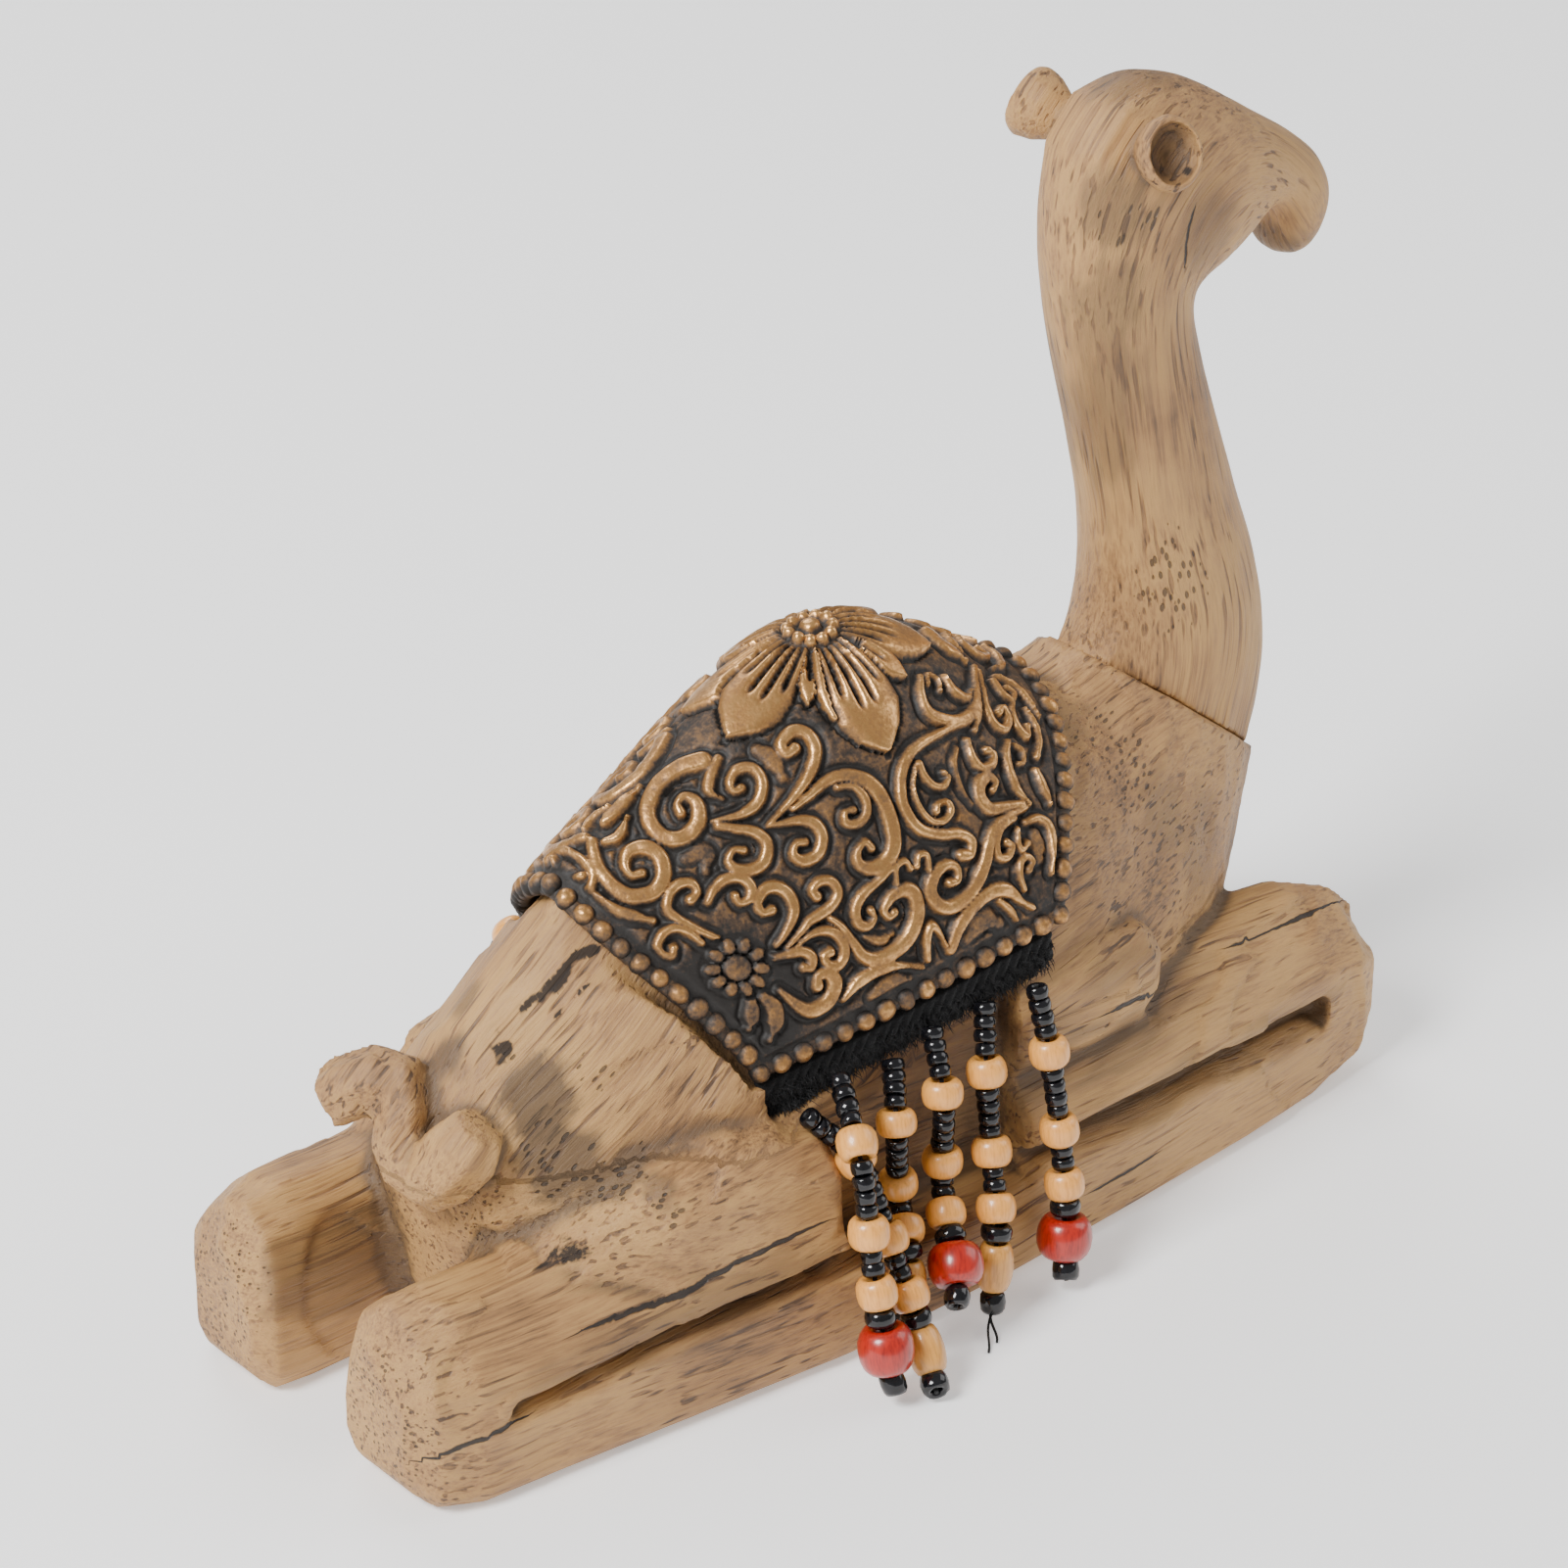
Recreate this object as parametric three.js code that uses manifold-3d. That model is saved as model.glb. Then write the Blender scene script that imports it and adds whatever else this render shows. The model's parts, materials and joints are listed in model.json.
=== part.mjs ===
// A lying camel in cast resin, coloured as carved driftwood, with a bronze-look saddle blanket
// over the hump and beaded tassels on a dark braid along both sides.
// Millimetres. The camel faces +X, its left side is +Y, and it rests on z = 0.
import * as THREE from 'three';
import { mergeVertices } from 'three/addons/utils/BufferGeometryUtils.js';
import Module from 'manifold-3d';

const wasm = await Module();
wasm.setup();

// Driving dimensions
const JOINT_GAP = 0.3;
const SEAT_GAP = 0.9;
const BELLY_CLEARANCE = 3;
const LEG_INNER = 11;
const RING_SIDES = 18;

// Blanket: two arches, rear and front, with the crown line between them
const REAR_ARCH = { crownX: -61.5, footX: -40, footZ: 56, halfWidth: 31.5, power: 1.37 };
const FRONT_ARCH = { crownX: 48, footX: 24, footZ: 68.5, halfWidth: 41, power: 1.8 };
// Height of the crown line: [u, z]
const CROWN = [[0, 88.5], [0.2, 100.5], [0.4, 112.5], [0.58, 118.8], [0.75, 113], [0.9, 103.2], [1, 97.6]];
const FLANK_SWELL = 1;
const BLANKET_THICKNESS = 3;
const RIM_BEAD_RADIUS = 2.1;
const RIM_BEAD_PITCH = 4.3;
const BLANKET_ROWS = 12;
const BLANKET_COLUMNS = 12;
const SEAT_ROWS = 7;
const SEAT_COLUMNS = 8;

// Colours of the finishes
const WOOD_LOOK = { color: 0xa98659, roughness: 0.75, metalness: 0 };
const BRONZE_LOOK = { color: 0x6b4a2a, roughness: 0.5, metalness: 0.35 };
const BRAID_BLACK = { color: 0x141416, roughness: 0.95, metalness: 0 };
const BEAD_BLACK = { color: 0x0c0c0e, roughness: 0.2, metalness: 0 };
const BEAD_RED = { color: 0xa8321f, roughness: 0.4, metalness: 0 };
const BEAD_HONEY = { color: 0xc98f4c, roughness: 0.45, metalness: 0 };

// Small helpers for numbers
const lerp = THREE.MathUtils.lerp;
const clamp = THREE.MathUtils.clamp;

// Cubic interpolation of rows [key, value, value, ...] at any key.
function rowAt(rows, key) {
  const last = rows.length - 1;
  const at = clamp(key, rows[0][0], rows[last][0]);
  let i = 0;
  while (i < last - 1 && at > rows[i + 1][0]) i += 1;
  const span = rows[i + 1][0] - rows[i][0];
  const t = (at - rows[i][0]) / span;
  const slope = (j, c) => {
    const a = Math.max(j - 1, 0);
    const b = Math.min(j + 1, last);
    return (rows[b][c] - rows[a][c]) / (rows[b][0] - rows[a][0]);
  };
  const values = [];
  for (let c = 1; c < rows[0].length; c += 1) {
    const start = rows[i][c];
    const end = rows[i + 1][c];
    const leaving = slope(i, c) * span;
    const arriving = slope(i + 1, c) * span;
    const t2 = t * t;
    const t3 = t2 * t;
    const blend = 3 * t2 - 2 * t3;
    values.push(lerp(start, end, blend) + (t3 - 2 * t2 + t) * leaving + (t3 - t2) * arriving);
  }
  return values;
}

// A cosine or sine raised to 2/power with its sign kept, for rounded-box sections.
const curved = (value, power) => Math.sign(value) * Math.abs(value) ** (2 / power);

// Geometry of points and triangles, turned so that its faces point out.
function shell(points, faces) {
  let volume = 0;
  for (const [a, b, c] of faces) {
    volume += points[a].dot(new THREE.Vector3().crossVectors(points[b], points[c]));
  }
  const order = volume < 0 ? faces.map(([a, b, c]) => [a, c, b]) : faces;
  const geometry = new THREE.BufferGeometry();
  geometry.setAttribute('position', new THREE.Float32BufferAttribute(points.flatMap((p) => p.toArray()), 3));
  geometry.setIndex(order.flat());
  return geometry;
}

// A closed solid through rings of equal point counts, its ends closed by fans to two points.
function capped(rings, firstMiddle, lastMiddle) {
  const count = rings[0].length;
  const points = [...rings.flat(), firstMiddle, lastMiddle];
  const faces = [];
  for (let i = 0; i < rings.length - 1; i += 1) {
    for (let k = 0; k < count; k += 1) {
      const a = i * count + k;
      const b = i * count + ((k + 1) % count);
      faces.push([a, b, b + count], [a, b + count, a + count]);
    }
  }
  const top = (rings.length - 1) * count;
  for (let k = 0; k < count; k += 1) {
    const next = (k + 1) % count;
    faces.push([next, k, points.length - 2], [top + k, top + next, points.length - 1]);
  }
  return shell(points, faces);
}

function middleOf(ring) {
  const middle = new THREE.Vector3();
  ring.forEach((p) => middle.addScaledVector(p, 1 / ring.length));
  return middle;
}

const loft = (rings) => capped(rings, middleOf(rings[0]), middleOf(rings[rings.length - 1]));

// A closed solid between two grids of points that face each other.
function slab(outer, inner) {
  const rows = outer.length;
  const columns = outer[0].length;
  const points = [...outer.flat(), ...inner.flat()];
  const id = (side, i, j) => side * rows * columns + i * columns + j;
  const faces = [];
  const quad = (a, b, c, d) => faces.push([a, b, c], [a, c, d]);
  for (let i = 0; i < rows - 1; i += 1) {
    for (let j = 0; j < columns - 1; j += 1) {
      quad(id(0, i, j), id(0, i, j + 1), id(0, i + 1, j + 1), id(0, i + 1, j));
      quad(id(1, i, j), id(1, i + 1, j), id(1, i + 1, j + 1), id(1, i, j + 1));
    }
  }
  for (let j = 0; j < columns - 1; j += 1) {
    quad(id(0, 0, j + 1), id(0, 0, j), id(1, 0, j), id(1, 0, j + 1));
    quad(id(0, rows - 1, j), id(0, rows - 1, j + 1), id(1, rows - 1, j + 1), id(1, rows - 1, j));
  }
  for (let i = 0; i < rows - 1; i += 1) {
    quad(id(0, i, 0), id(0, i + 1, 0), id(1, i + 1, 0), id(1, i, 0));
    quad(id(0, i + 1, columns - 1), id(0, i, columns - 1), id(1, i, columns - 1), id(1, i + 1, columns - 1));
  }
  return shell(points, faces);
}

// Solids for joining and cutting
function solid(geometry) {
  const bare = geometry.clone();
  bare.deleteAttribute('normal');
  bare.deleteAttribute('uv');
  const merged = mergeVertices(bare, 1e-4);
  return new wasm.Manifold(new wasm.Mesh({
    numProp: 3,
    vertProperties: new Float32Array(merged.attributes.position.array),
    triVerts: new Uint32Array(merged.index.array),
  }));
}

function geometryOf(body) {
  const mesh = body.getMesh();
  const geometry = new THREE.BufferGeometry();
  geometry.setAttribute('position', new THREE.BufferAttribute(new Float32Array(mesh.vertProperties), 3));
  geometry.setIndex(new THREE.BufferAttribute(new Uint32Array(mesh.triVerts), 1));
  return geometry;
}

const union = (bodies) => bodies.reduce((whole, body) => whole.add(body));

// The largest piece of a body, without slivers that joining left behind.
const largest = (body) => body.decompose().sort((a, b) => b.volume() - a.volume())[0];

// The same geometry on the other side of the centre plane.
function mirrored(geometry) {
  const copy = geometry.index ? geometry.toNonIndexed() : geometry.clone();
  copy.deleteAttribute('normal');
  copy.deleteAttribute('uv');
  const place = copy.attributes.position;
  for (let i = 0; i < place.count; i += 3) {
    const corners = [0, 2, 1].map((k) => [place.getX(i + k), -place.getY(i + k), place.getZ(i + k)]);
    corners.forEach((corner, k) => place.setXYZ(i + k, ...corner));
  }
  return mergeVertices(copy, 1e-4);
}

const bothSides = (geometry) => solid(geometry).add(solid(mirrored(geometry)));

// Ring in the plane of two profile points, upper and lower, with its half width across.
function profileRing(upperX, upperZ, lowerX, lowerZ, halfWidth, upperPower, lowerPower, sides) {
  const ring = [];
  for (let k = 0; k < sides; k += 1) {
    const angle = (2 * Math.PI * k) / sides;
    const power = Math.cos(angle) > 0 ? upperPower : lowerPower;
    const along = curved(Math.cos(angle), power);
    const across = curved(Math.sin(angle), power);
    ring.push(new THREE.Vector3(
      (upperX + lowerX) / 2 + (along * (upperX - lowerX)) / 2,
      across * halfWidth,
      (upperZ + lowerZ) / 2 + (along * (upperZ - lowerZ)) / 2,
    ));
  }
  return ring;
}

function profileLoft(rows, steps, sides) {
  const first = rows[0][0];
  const last = rows[rows.length - 1][0];
  const rings = [];
  for (let i = 0; i <= steps; i += 1) {
    rings.push(profileRing(...rowAt(rows, lerp(first, last, i / steps)), sides));
  }
  return loft(rings);
}

// Blanket surface: u runs from the rear rim to the front rim, v from the right foot over the
// crown (v = 0) to the left foot, in equal steps of arc length.
function archAt(u) {
  const mix = (name) => lerp(REAR_ARCH[name], FRONT_ARCH[name], u);
  return {
    crownX: mix('crownX'),
    crownZ: rowAt(CROWN, u)[0],
    footX: mix('footX'),
    footZ: mix('footZ'),
    halfWidth: mix('halfWidth') + FLANK_SWELL * Math.sin(Math.PI * u),
    power: mix('power'),
  };
}

const ARCH_SAMPLES = 48;

function archCurve(u) {
  const arch = archAt(u);
  const places = [];
  for (let i = 0; i <= ARCH_SAMPLES; i += 1) {
    const angle = (i / ARCH_SAMPLES) * (Math.PI / 2);
    const side = curved(Math.sin(angle), arch.power);
    places.push(new THREE.Vector3(
      lerp(arch.crownX, arch.footX, side ** 2),
      side * arch.halfWidth,
      arch.footZ + curved(Math.cos(angle), arch.power) * (arch.crownZ - arch.footZ),
    ));
  }
  const lengths = [0];
  for (let i = 1; i < places.length; i += 1) {
    lengths.push(lengths[i - 1] + places[i].distanceTo(places[i - 1]));
  }
  return { places, lengths };
}

function onArch(curve, v) {
  const total = curve.lengths[ARCH_SAMPLES];
  const reach = Math.abs(v) * total;
  let i = 1;
  while (i < ARCH_SAMPLES && curve.lengths[i] < reach) i += 1;
  const t = (reach - curve.lengths[i - 1]) / (curve.lengths[i] - curve.lengths[i - 1]);
  const point = new THREE.Vector3().lerpVectors(curve.places[i - 1], curve.places[i], t);
  if (v < 0) point.y = -point.y;
  return point;
}

const blanketPoint = (u, v) => onArch(archCurve(u), v);

function blanketNormal(u, v) {
  const step = 0.01;
  const along = blanketPoint(u + step, v).sub(blanketPoint(u - step, v));
  const across = blanketPoint(u, v + step).sub(blanketPoint(u, v - step));
  return along.cross(across).normalize();
}

// Point of the blanket's outer face, raised by a height along its normal.
const blanketRaised = (u, v, height) => blanketPoint(u, v).addScaledVector(blanketNormal(u, v), height);

const stations = (from, to, count) => Array.from({ length: count + 1 }, (_, i) => lerp(from, to, i / count));

// Rows of points over the blanket at a height.
function blanketGrid(height) {
  const vs = stations(-1, 1, BLANKET_COLUMNS);
  return stations(0, 1, BLANKET_ROWS).map((u) => vs.map((v) => blanketRaised(u, v, height)));
}

// Coarser rows for the seat under the blanket, wider all round by a margin where one is given.
function seatGrid(height, margin = 0) {
  const us = stations(0, 1, SEAT_ROWS);
  const vs = stations(-1, 1, SEAT_COLUMNS);
  if (margin > 0) {
    us.unshift(-margin);
    us.push(1 + margin);
    vs.unshift(-1 - margin);
    vs.push(1 + margin);
  }
  return us.map((u) => vs.map((v) => blanketRaised(u, v, height)));
}

// Torso: rings from the rump to the collar.
// [station, upper x, upper z, lower x, lower z, half width, upper power, lower power]
const TORSO = [
  [0, -91, 50, -90, 30, 10, 2, 2],
  [1, -89, 58, -87, 14, 16.5, 1.9, 2.2],
  [2, -83, 65.5, -82, 4, 21.5, 1.8, 2.4],
  [3, -74, 72.5, -73, BELLY_CLEARANCE, 25.5, 1.6, 2.8],
  [4, -63.5, 81.5, -60, BELLY_CLEARANCE, 29, 1.5, 3.2],
  [5, -42, 96, -42, BELLY_CLEARANCE, 34, 1.6, 3.6],
  [6, -20, 110, -20, BELLY_CLEARANCE, 35.5, 1.7, 4],
  [7, 4, 115, 4, BELLY_CLEARANCE, 37, 1.8, 4],
  [8, 26, 107, 24, BELLY_CLEARANCE, 38, 1.9, 3.6],
  [9, 46, 95, 48, BELLY_CLEARANCE, 36, 2, 3],
  [10, 56, 92.5, 73, 4, 31, 2, 2.5],
  [11, 60, 94.5, 90, 20, 26, 2, 2.2],
  [12, 61.5, 95.5, 101, 42, 21.5, 2, 2],
  [13, 61.8, 95.8, 107.6, 60.4, 18, 2, 2],
];

// Legs: [x, inner y, outer y, underside z, top z]
const LEG = [
  [-118, 14, 30, 6, 29],
  [-114, 11, 35.5, 1, 36],
  [-106, LEG_INNER, 38.5, 0, 37.2],
  [-90, LEG_INNER, 40, 0, 36.5],
  [-66, LEG_INNER, 42.5, 0, 36.5],
  [-30, LEG_INNER, 46.3, 0, 36],
  [0, LEG_INNER, 46.6, 0, 38],
  [32, LEG_INNER, 45, 0, 41],
  [74, 12, 42, 0, 43],
  [96, 14, 40, 0.6, 42],
  [109, 18, 38, 3.5, 38],
  [115.5, 21, 34.5, 10, 32],
];

const LEG_STATIONS = [-118, -114, -106, -90, -66, -30, 10, 44, 74, 96, 109, 115.5];
// Where the upright outer face of a leg bends, as shares of its height.
const LEG_FACE = { low: 0.3, high: 0.66 };
// Edges of the leg's section: width of the lower edges, and of the facets along the upper corners.
const LEG_EDGE = { foot: 2.6, brow: 4, browDrop: 6.5, crest: 10.5, ridge: 9, innerDrop: 13 };

// Cross-section of one leg: a squared log with broad facets along its upper corners.
function legRing(x) {
  const [inner, outer, under, top] = rowAt(LEG, x);
  const { foot, brow, browDrop, crest, ridge, innerDrop } = LEG_EDGE;
  const outline = [
    [inner + foot, under],
    [outer - foot, under],
    [outer, under + foot],
    [outer, lerp(under, top, LEG_FACE.low)],
    [outer, lerp(under, top, LEG_FACE.high)],
    [outer - brow, top - browDrop],
    [outer - crest, top - 1],
    [inner + ridge, top],
    [inner + ridge / 3, top - browDrop * 0.7],
    [inner, top - innerDrop],
    [inner, under + foot * 1.5],
  ];
  return outline.map(([y, z]) => new THREE.Vector3(x, -y, z));
}

// Long groove between the upper and the lower bone of a folded leg.
const GROOVE = { from: -101, to: 98, depth: 6.5, mouth: 3, ledge: 0.35, lip: 0.62 };
// Edges of the groove: [x, low z, high z]
const GROOVE_EDGES = [[-101, 15, 19.5], [-66, 17, 22.6], [20, 18.5, 26.5], [70, 17, 25.4], [98, 13.6, 24]];

function grooveRing(x) {
  const [, outer] = rowAt(LEG, x);
  const [low, high] = rowAt(GROOVE_EDGES, x);
  const slope = GROOVE.mouth / GROOVE.depth;
  const outline = [
    [outer - GROOVE.depth, lerp(low, high, GROOVE.lip)],
    [outer - GROOVE.depth + 1, lerp(low, high, GROOVE.ledge)],
    [outer + GROOVE.mouth, low - slope],
    [outer + GROOVE.mouth, high + slope],
  ];
  return outline.map(([y, z]) => new THREE.Vector3(x, -y, z));
}

// A bent log with facets: its radius follows rows [t, radius across, radius upright].
function log(points, radii, sides, steps) {
  const path = new THREE.CatmullRomCurve3(points.map((p) => new THREE.Vector3(...p)));
  const frames = path.computeFrenetFrames(steps, false);
  const rings = stations(0, 1, steps).map((t, i) => {
    const [across, upright] = rowAt(radii, t);
    const middle = path.getPoint(t);
    return Array.from({ length: sides }, (_, k) => {
      const angle = (2 * Math.PI * (k + 0.5)) / sides;
      return middle.clone()
        .addScaledVector(frames.normals[i], Math.cos(angle) * across)
        .addScaledVector(frames.binormals[i], Math.sin(angle) * upright);
    });
  });
  return loft(rings);
}

// A limb lying along the leg, through rows [x, inner y, outer y, low z, top z].
const LIMB_SIDES = 10;
const LIMB_POWER = 2.6;

function limb(rows) {
  return loft(rows.map(([x, inner, outer, low, top]) => Array.from({ length: LIMB_SIDES }, (_, k) => {
    const angle = (2 * Math.PI * (k + 0.5)) / LIMB_SIDES;
    return new THREE.Vector3(
      x,
      -(inner + outer) / 2 - (curved(Math.cos(angle), LIMB_POWER) * (outer - inner)) / 2,
      (low + top) / 2 + (curved(Math.sin(angle), LIMB_POWER) * (top - low)) / 2,
    );
  })));
}

const THIGH = [
  [-94, 13, 25, 20, 33],
  [-79, 12, 34.5, 21, 41],
  [-64, 12, 41, 20, 48],
  [-50, 13, 44.2, 20, 50.5],
  [-42, 14, 45, 20, 50],
  [-34, 16, 45.4, 20, 47.5],
  [-31, 18, 44.2, 22, 44.5],
];

const UPPER_ARM = [
  [4, 10, 38, 34, 58],
  [16, 12, 42, 33, 62],
  [34, 14, 43, 34, 61],
  [47, 18, 42.5, 36, 59],
  [51.5, 21, 40, 39, 55.5],
];

// Recessed flank behind the tassels, between the thigh's end and the front arm.
const FLANK_RECESS = { rear: -31, front: 14, wall: 34.5, sill: 18, rise: 2.5, topRear: 57, topFront: 66 };

function flankCutter() {
  const { rear, front, wall, sill, rise, topRear, topFront } = FLANK_RECESS;
  const reach = 60;
  const slice = (y, low) => [[rear, low], [front, low], [front + 1, topFront], [rear + 4, topRear]]
    .map(([x, z]) => new THREE.Vector3(x, -y, z));
  return loft([slice(wall, sill + rise), slice(wall + 12, sill), slice(reach, sill)]);
}

// Tail: a short twisted stub of wood lying across the rump in an S.
const TAIL_LINE = [
  [-88, -15, 58], [-92.5, -12.5, 51.5], [-95, -6, 46.5], [-96, -1, 52],
  [-91.5, 2, 59], [-95.5, 7.5, 60], [-101, 12, 55.5],
];
// Thickness of the tail: [share of its length, radius across, radius upright]
const TAIL_RADII = [
  [0, 5, 5], [0.12, 7, 7], [0.3, 6.2, 6.2], [0.5, 5, 5.5], [0.7, 6, 6], [0.85, 6.4, 6.4], [1, 5.2, 5.2],
];
const TAIL_SIDES = 7;
const TAIL_STEPS = 10;

const tailSolid = () => solid(log(TAIL_LINE, TAIL_RADII, TAIL_SIDES, TAIL_STEPS));

function bodySolid() {
  const torso = solid(profileLoft(TORSO, 12, RING_SIDES));
  const legs = bothSides(loft(LEG_STATIONS.map(legRing)));
  const seat = slab(seatGrid(-BLANKET_THICKNESS - SEAT_GAP), seatGrid(-26));
  let body = torso.add(legs).add(bothSides(limb(THIGH))).add(bothSides(limb(UPPER_ARM))).add(solid(seat));
  const grooves = loft(stations(GROOVE.from, GROOVE.to, 6).map(grooveRing));
  body = body.subtract(bothSides(grooves)).subtract(bothSides(flankCutter()));
  body = body.add(tailSolid());
  const blanketRoom = slab(seatGrid(9, 0.03), seatGrid(-BLANKET_THICKNESS - SEAT_GAP, 0.03));
  return body.subtract(solid(blanketRoom)).subtract(bothSides(tapeBar(JOINT_GAP)));
}

// Neck and head: [station, back x, back z, front x, front z, half width, upper power, lower power]
const NECK = [
  [0, 65.3, 93.1, 107.1, 60.8, 16, 2, 2],
  [1, 67, 97, 110.5, 73, 16, 2, 2],
  [2, 69, 103, 111, 88, 15.6, 2, 2],
  [3, 69.2, 110, 107.8, 103, 14.8, 2, 2],
  [4, 68, 121, 102.5, 117, 13.4, 2, 2],
  [5, 63, 140, 95.2, 138, 12.4, 2, 2],
  [6, 59, 154, 90.2, 153, 12, 2, 2],
  [7, 56.3, 170, 88.4, 161.2, 12.2, 2.1, 2.1],
  [8, 56.3, 184, 93.2, 162.2, 13.2, 2.2, 2.2],
  [9, 59.8, 196.6, 99.2, 164.4, 14, 2.3, 2.2],
  [10, 70, 204, 104.2, 167.2, 13.6, 2.3, 2.2],
  [11, 84, 202.6, 107.2, 170.8, 12.2, 2.2, 2.2],
  [12, 101, 192.8, 109.6, 171.2, 10.6, 2.1, 2.2],
  [13, 114.8, 184.3, 110, 167.6, 9.8, 2.1, 2.2],
  [14, 123, 177, 109.6, 164.4, 9, 2.1, 2.2],
  [15, 124.8, 168.6, 110.4, 161.2, 7.8, 2, 2],
  [16, 121, 160.6, 114.2, 158.6, 5, 2, 2],
];

// Ear: a round bowl on a short stem, open outwards and a little to the rear. The bowl's rings are
// radius and depth below the rim.
const EAR = {
  root: [70.4, -8.4, 192],
  towards: [-0.28, -0.88, 0.33],
  radius: 7.2,
  narrowing: 0.86,
  depth: 13,
  lip: 1.1,
  bowl: [[5.5, 2.2], [3.8, 4.3], [0, 5.3]],
  stem: 4.6,
};
const EAR_SIDES = 12;

function ear() {
  const { root, towards, radius, narrowing, depth, lip, bowl, stem } = EAR;
  const profile = [
    [0, 0], [stem, 0], [stem, depth - 9], [radius - 0.8, depth - 6], [radius, depth - 2.5],
    [radius - 0.5, depth], [radius - lip, depth], ...bowl.map(([r, below]) => [r, depth - below]),
  ];
  const cup = new THREE.LatheGeometry(profile.map(([r, h]) => new THREE.Vector2(r, h)), EAR_SIDES);
  const axis = new THREE.Vector3(...towards).normalize();
  const level = new THREE.Vector3(0, 0, 1).cross(axis).normalize();
  cup.scale(narrowing, 1, 1);
  cup.applyMatrix4(new THREE.Matrix4().makeBasis(level, axis, level.clone().cross(axis)));
  cup.translate(...root);
  return cup;
}

function neckSolid() {
  const neck = solid(profileLoft(NECK, 20, 14));
  return neck.add(bothSides(ear()));
}

// The seam plane that parts the neck from the collar, as a thick slice to cut both apart.
function seamSlice() {
  const across = new THREE.BoxGeometry(80, 60, JOINT_GAP);
  across.rotateY(Math.atan2(95.8 - 59.6, 108.6 - 61.8));
  across.translate((61.8 + 108.6) / 2, 0, (95.8 + 59.6) / 2);
  return solid(across);
}

// Blanket with its beaded rim and the raised ornament
function blanketSolid() {
  const side = [rosette(), ...SCROLLS.map(scrollBand)];
  const pads = side.flatMap((piece) => [solid(piece), solid(mirrored(piece))]);
  return union([solid(rimmedCloth()), solid(flower()), ...pads]);
}

// Place on the blanket at a distance in millimetres from (u, v), forward and towards the left foot.
function near(u, v, forward, leftward) {
  const step = 0.02;
  const perU = blanketPoint(u + step, v).distanceTo(blanketPoint(u - step, v)) / (2 * step);
  const perV = blanketPoint(u, v + step).distanceTo(blanketPoint(u, v - step)) / (2 * step);
  return [u + forward / perU, v + leftward / perV];
}

// Closed walk along the four edges of the blanket, each edge inset by its share of u and v:
// [u, v, edge number + share of the edge], with the given counts of steps per edge.
function edgeWalk(insetU, insetV, counts) {
  const [low, high] = [insetU, 1 - insetU];
  const foot = 1 - insetV;
  const edges = [
    (t) => [low, lerp(-foot, foot, t)],
    (t) => [lerp(low, high, t), foot],
    (t) => [high, lerp(foot, -foot, t)],
    (t) => [lerp(high, low, t), -foot],
  ];
  return edges.flatMap((edge, e) => stations(0, 1, counts[e]).slice(0, counts[e])
    .map((t, i) => [...edge(t), e + i / counts[e]]));
}

const edgeLength = (spots) => spots.slice(1).reduce((sum, p, i) => sum + p.distanceTo(spots[i]), 0);

// Rim: a string of beads, every other ring full and every other one waisted.
const RIM_INSET = 0.012;
const RIM_SINK = -1;
const RIM_WAIST = 1.25;
const RIM_ANGLES = [140, 60, -20, -105];
const CLOTH_INSET = 0.045;

function rimRings() {
  const fine = 40;
  const corners = edgeWalk(RIM_INSET, RIM_INSET, [fine, fine, fine, fine]);
  const beads = [0, 1, 2, 3].map((e) => {
    const run = corners.slice(e * fine, (e + 1) * fine).map(([u, v]) => blanketPoint(u, v));
    return 2 * Math.round(edgeLength(run) / RIM_BEAD_PITCH);
  });
  const walk = edgeWalk(RIM_INSET, RIM_INSET, beads);
  const place = ([u, v]) => blanketRaised(u, v, RIM_SINK);
  const centre = blanketPoint(0.5, 0);
  return walk.map((spot, i) => {
    const before = place(walk[(i + walk.length - 1) % walk.length]);
    const after = place(walk[(i + 1) % walk.length]);
    const up = blanketNormal(spot[0], spot[1]);
    const out = after.sub(before).cross(up).normalize();
    if (out.dot(centre.clone().sub(place(spot))) > 0) out.negate();
    const radius = i % 2 === 0 ? RIM_BEAD_RADIUS : RIM_WAIST;
    const points = RIM_ANGLES.map((degrees) => {
      const angle = THREE.MathUtils.degToRad(degrees);
      return place(spot)
        .addScaledVector(out, Math.cos(angle) * radius)
        .addScaledVector(up, Math.sin(angle) * radius);
    });
    return { points, share: spot[2] };
  });
}

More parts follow.
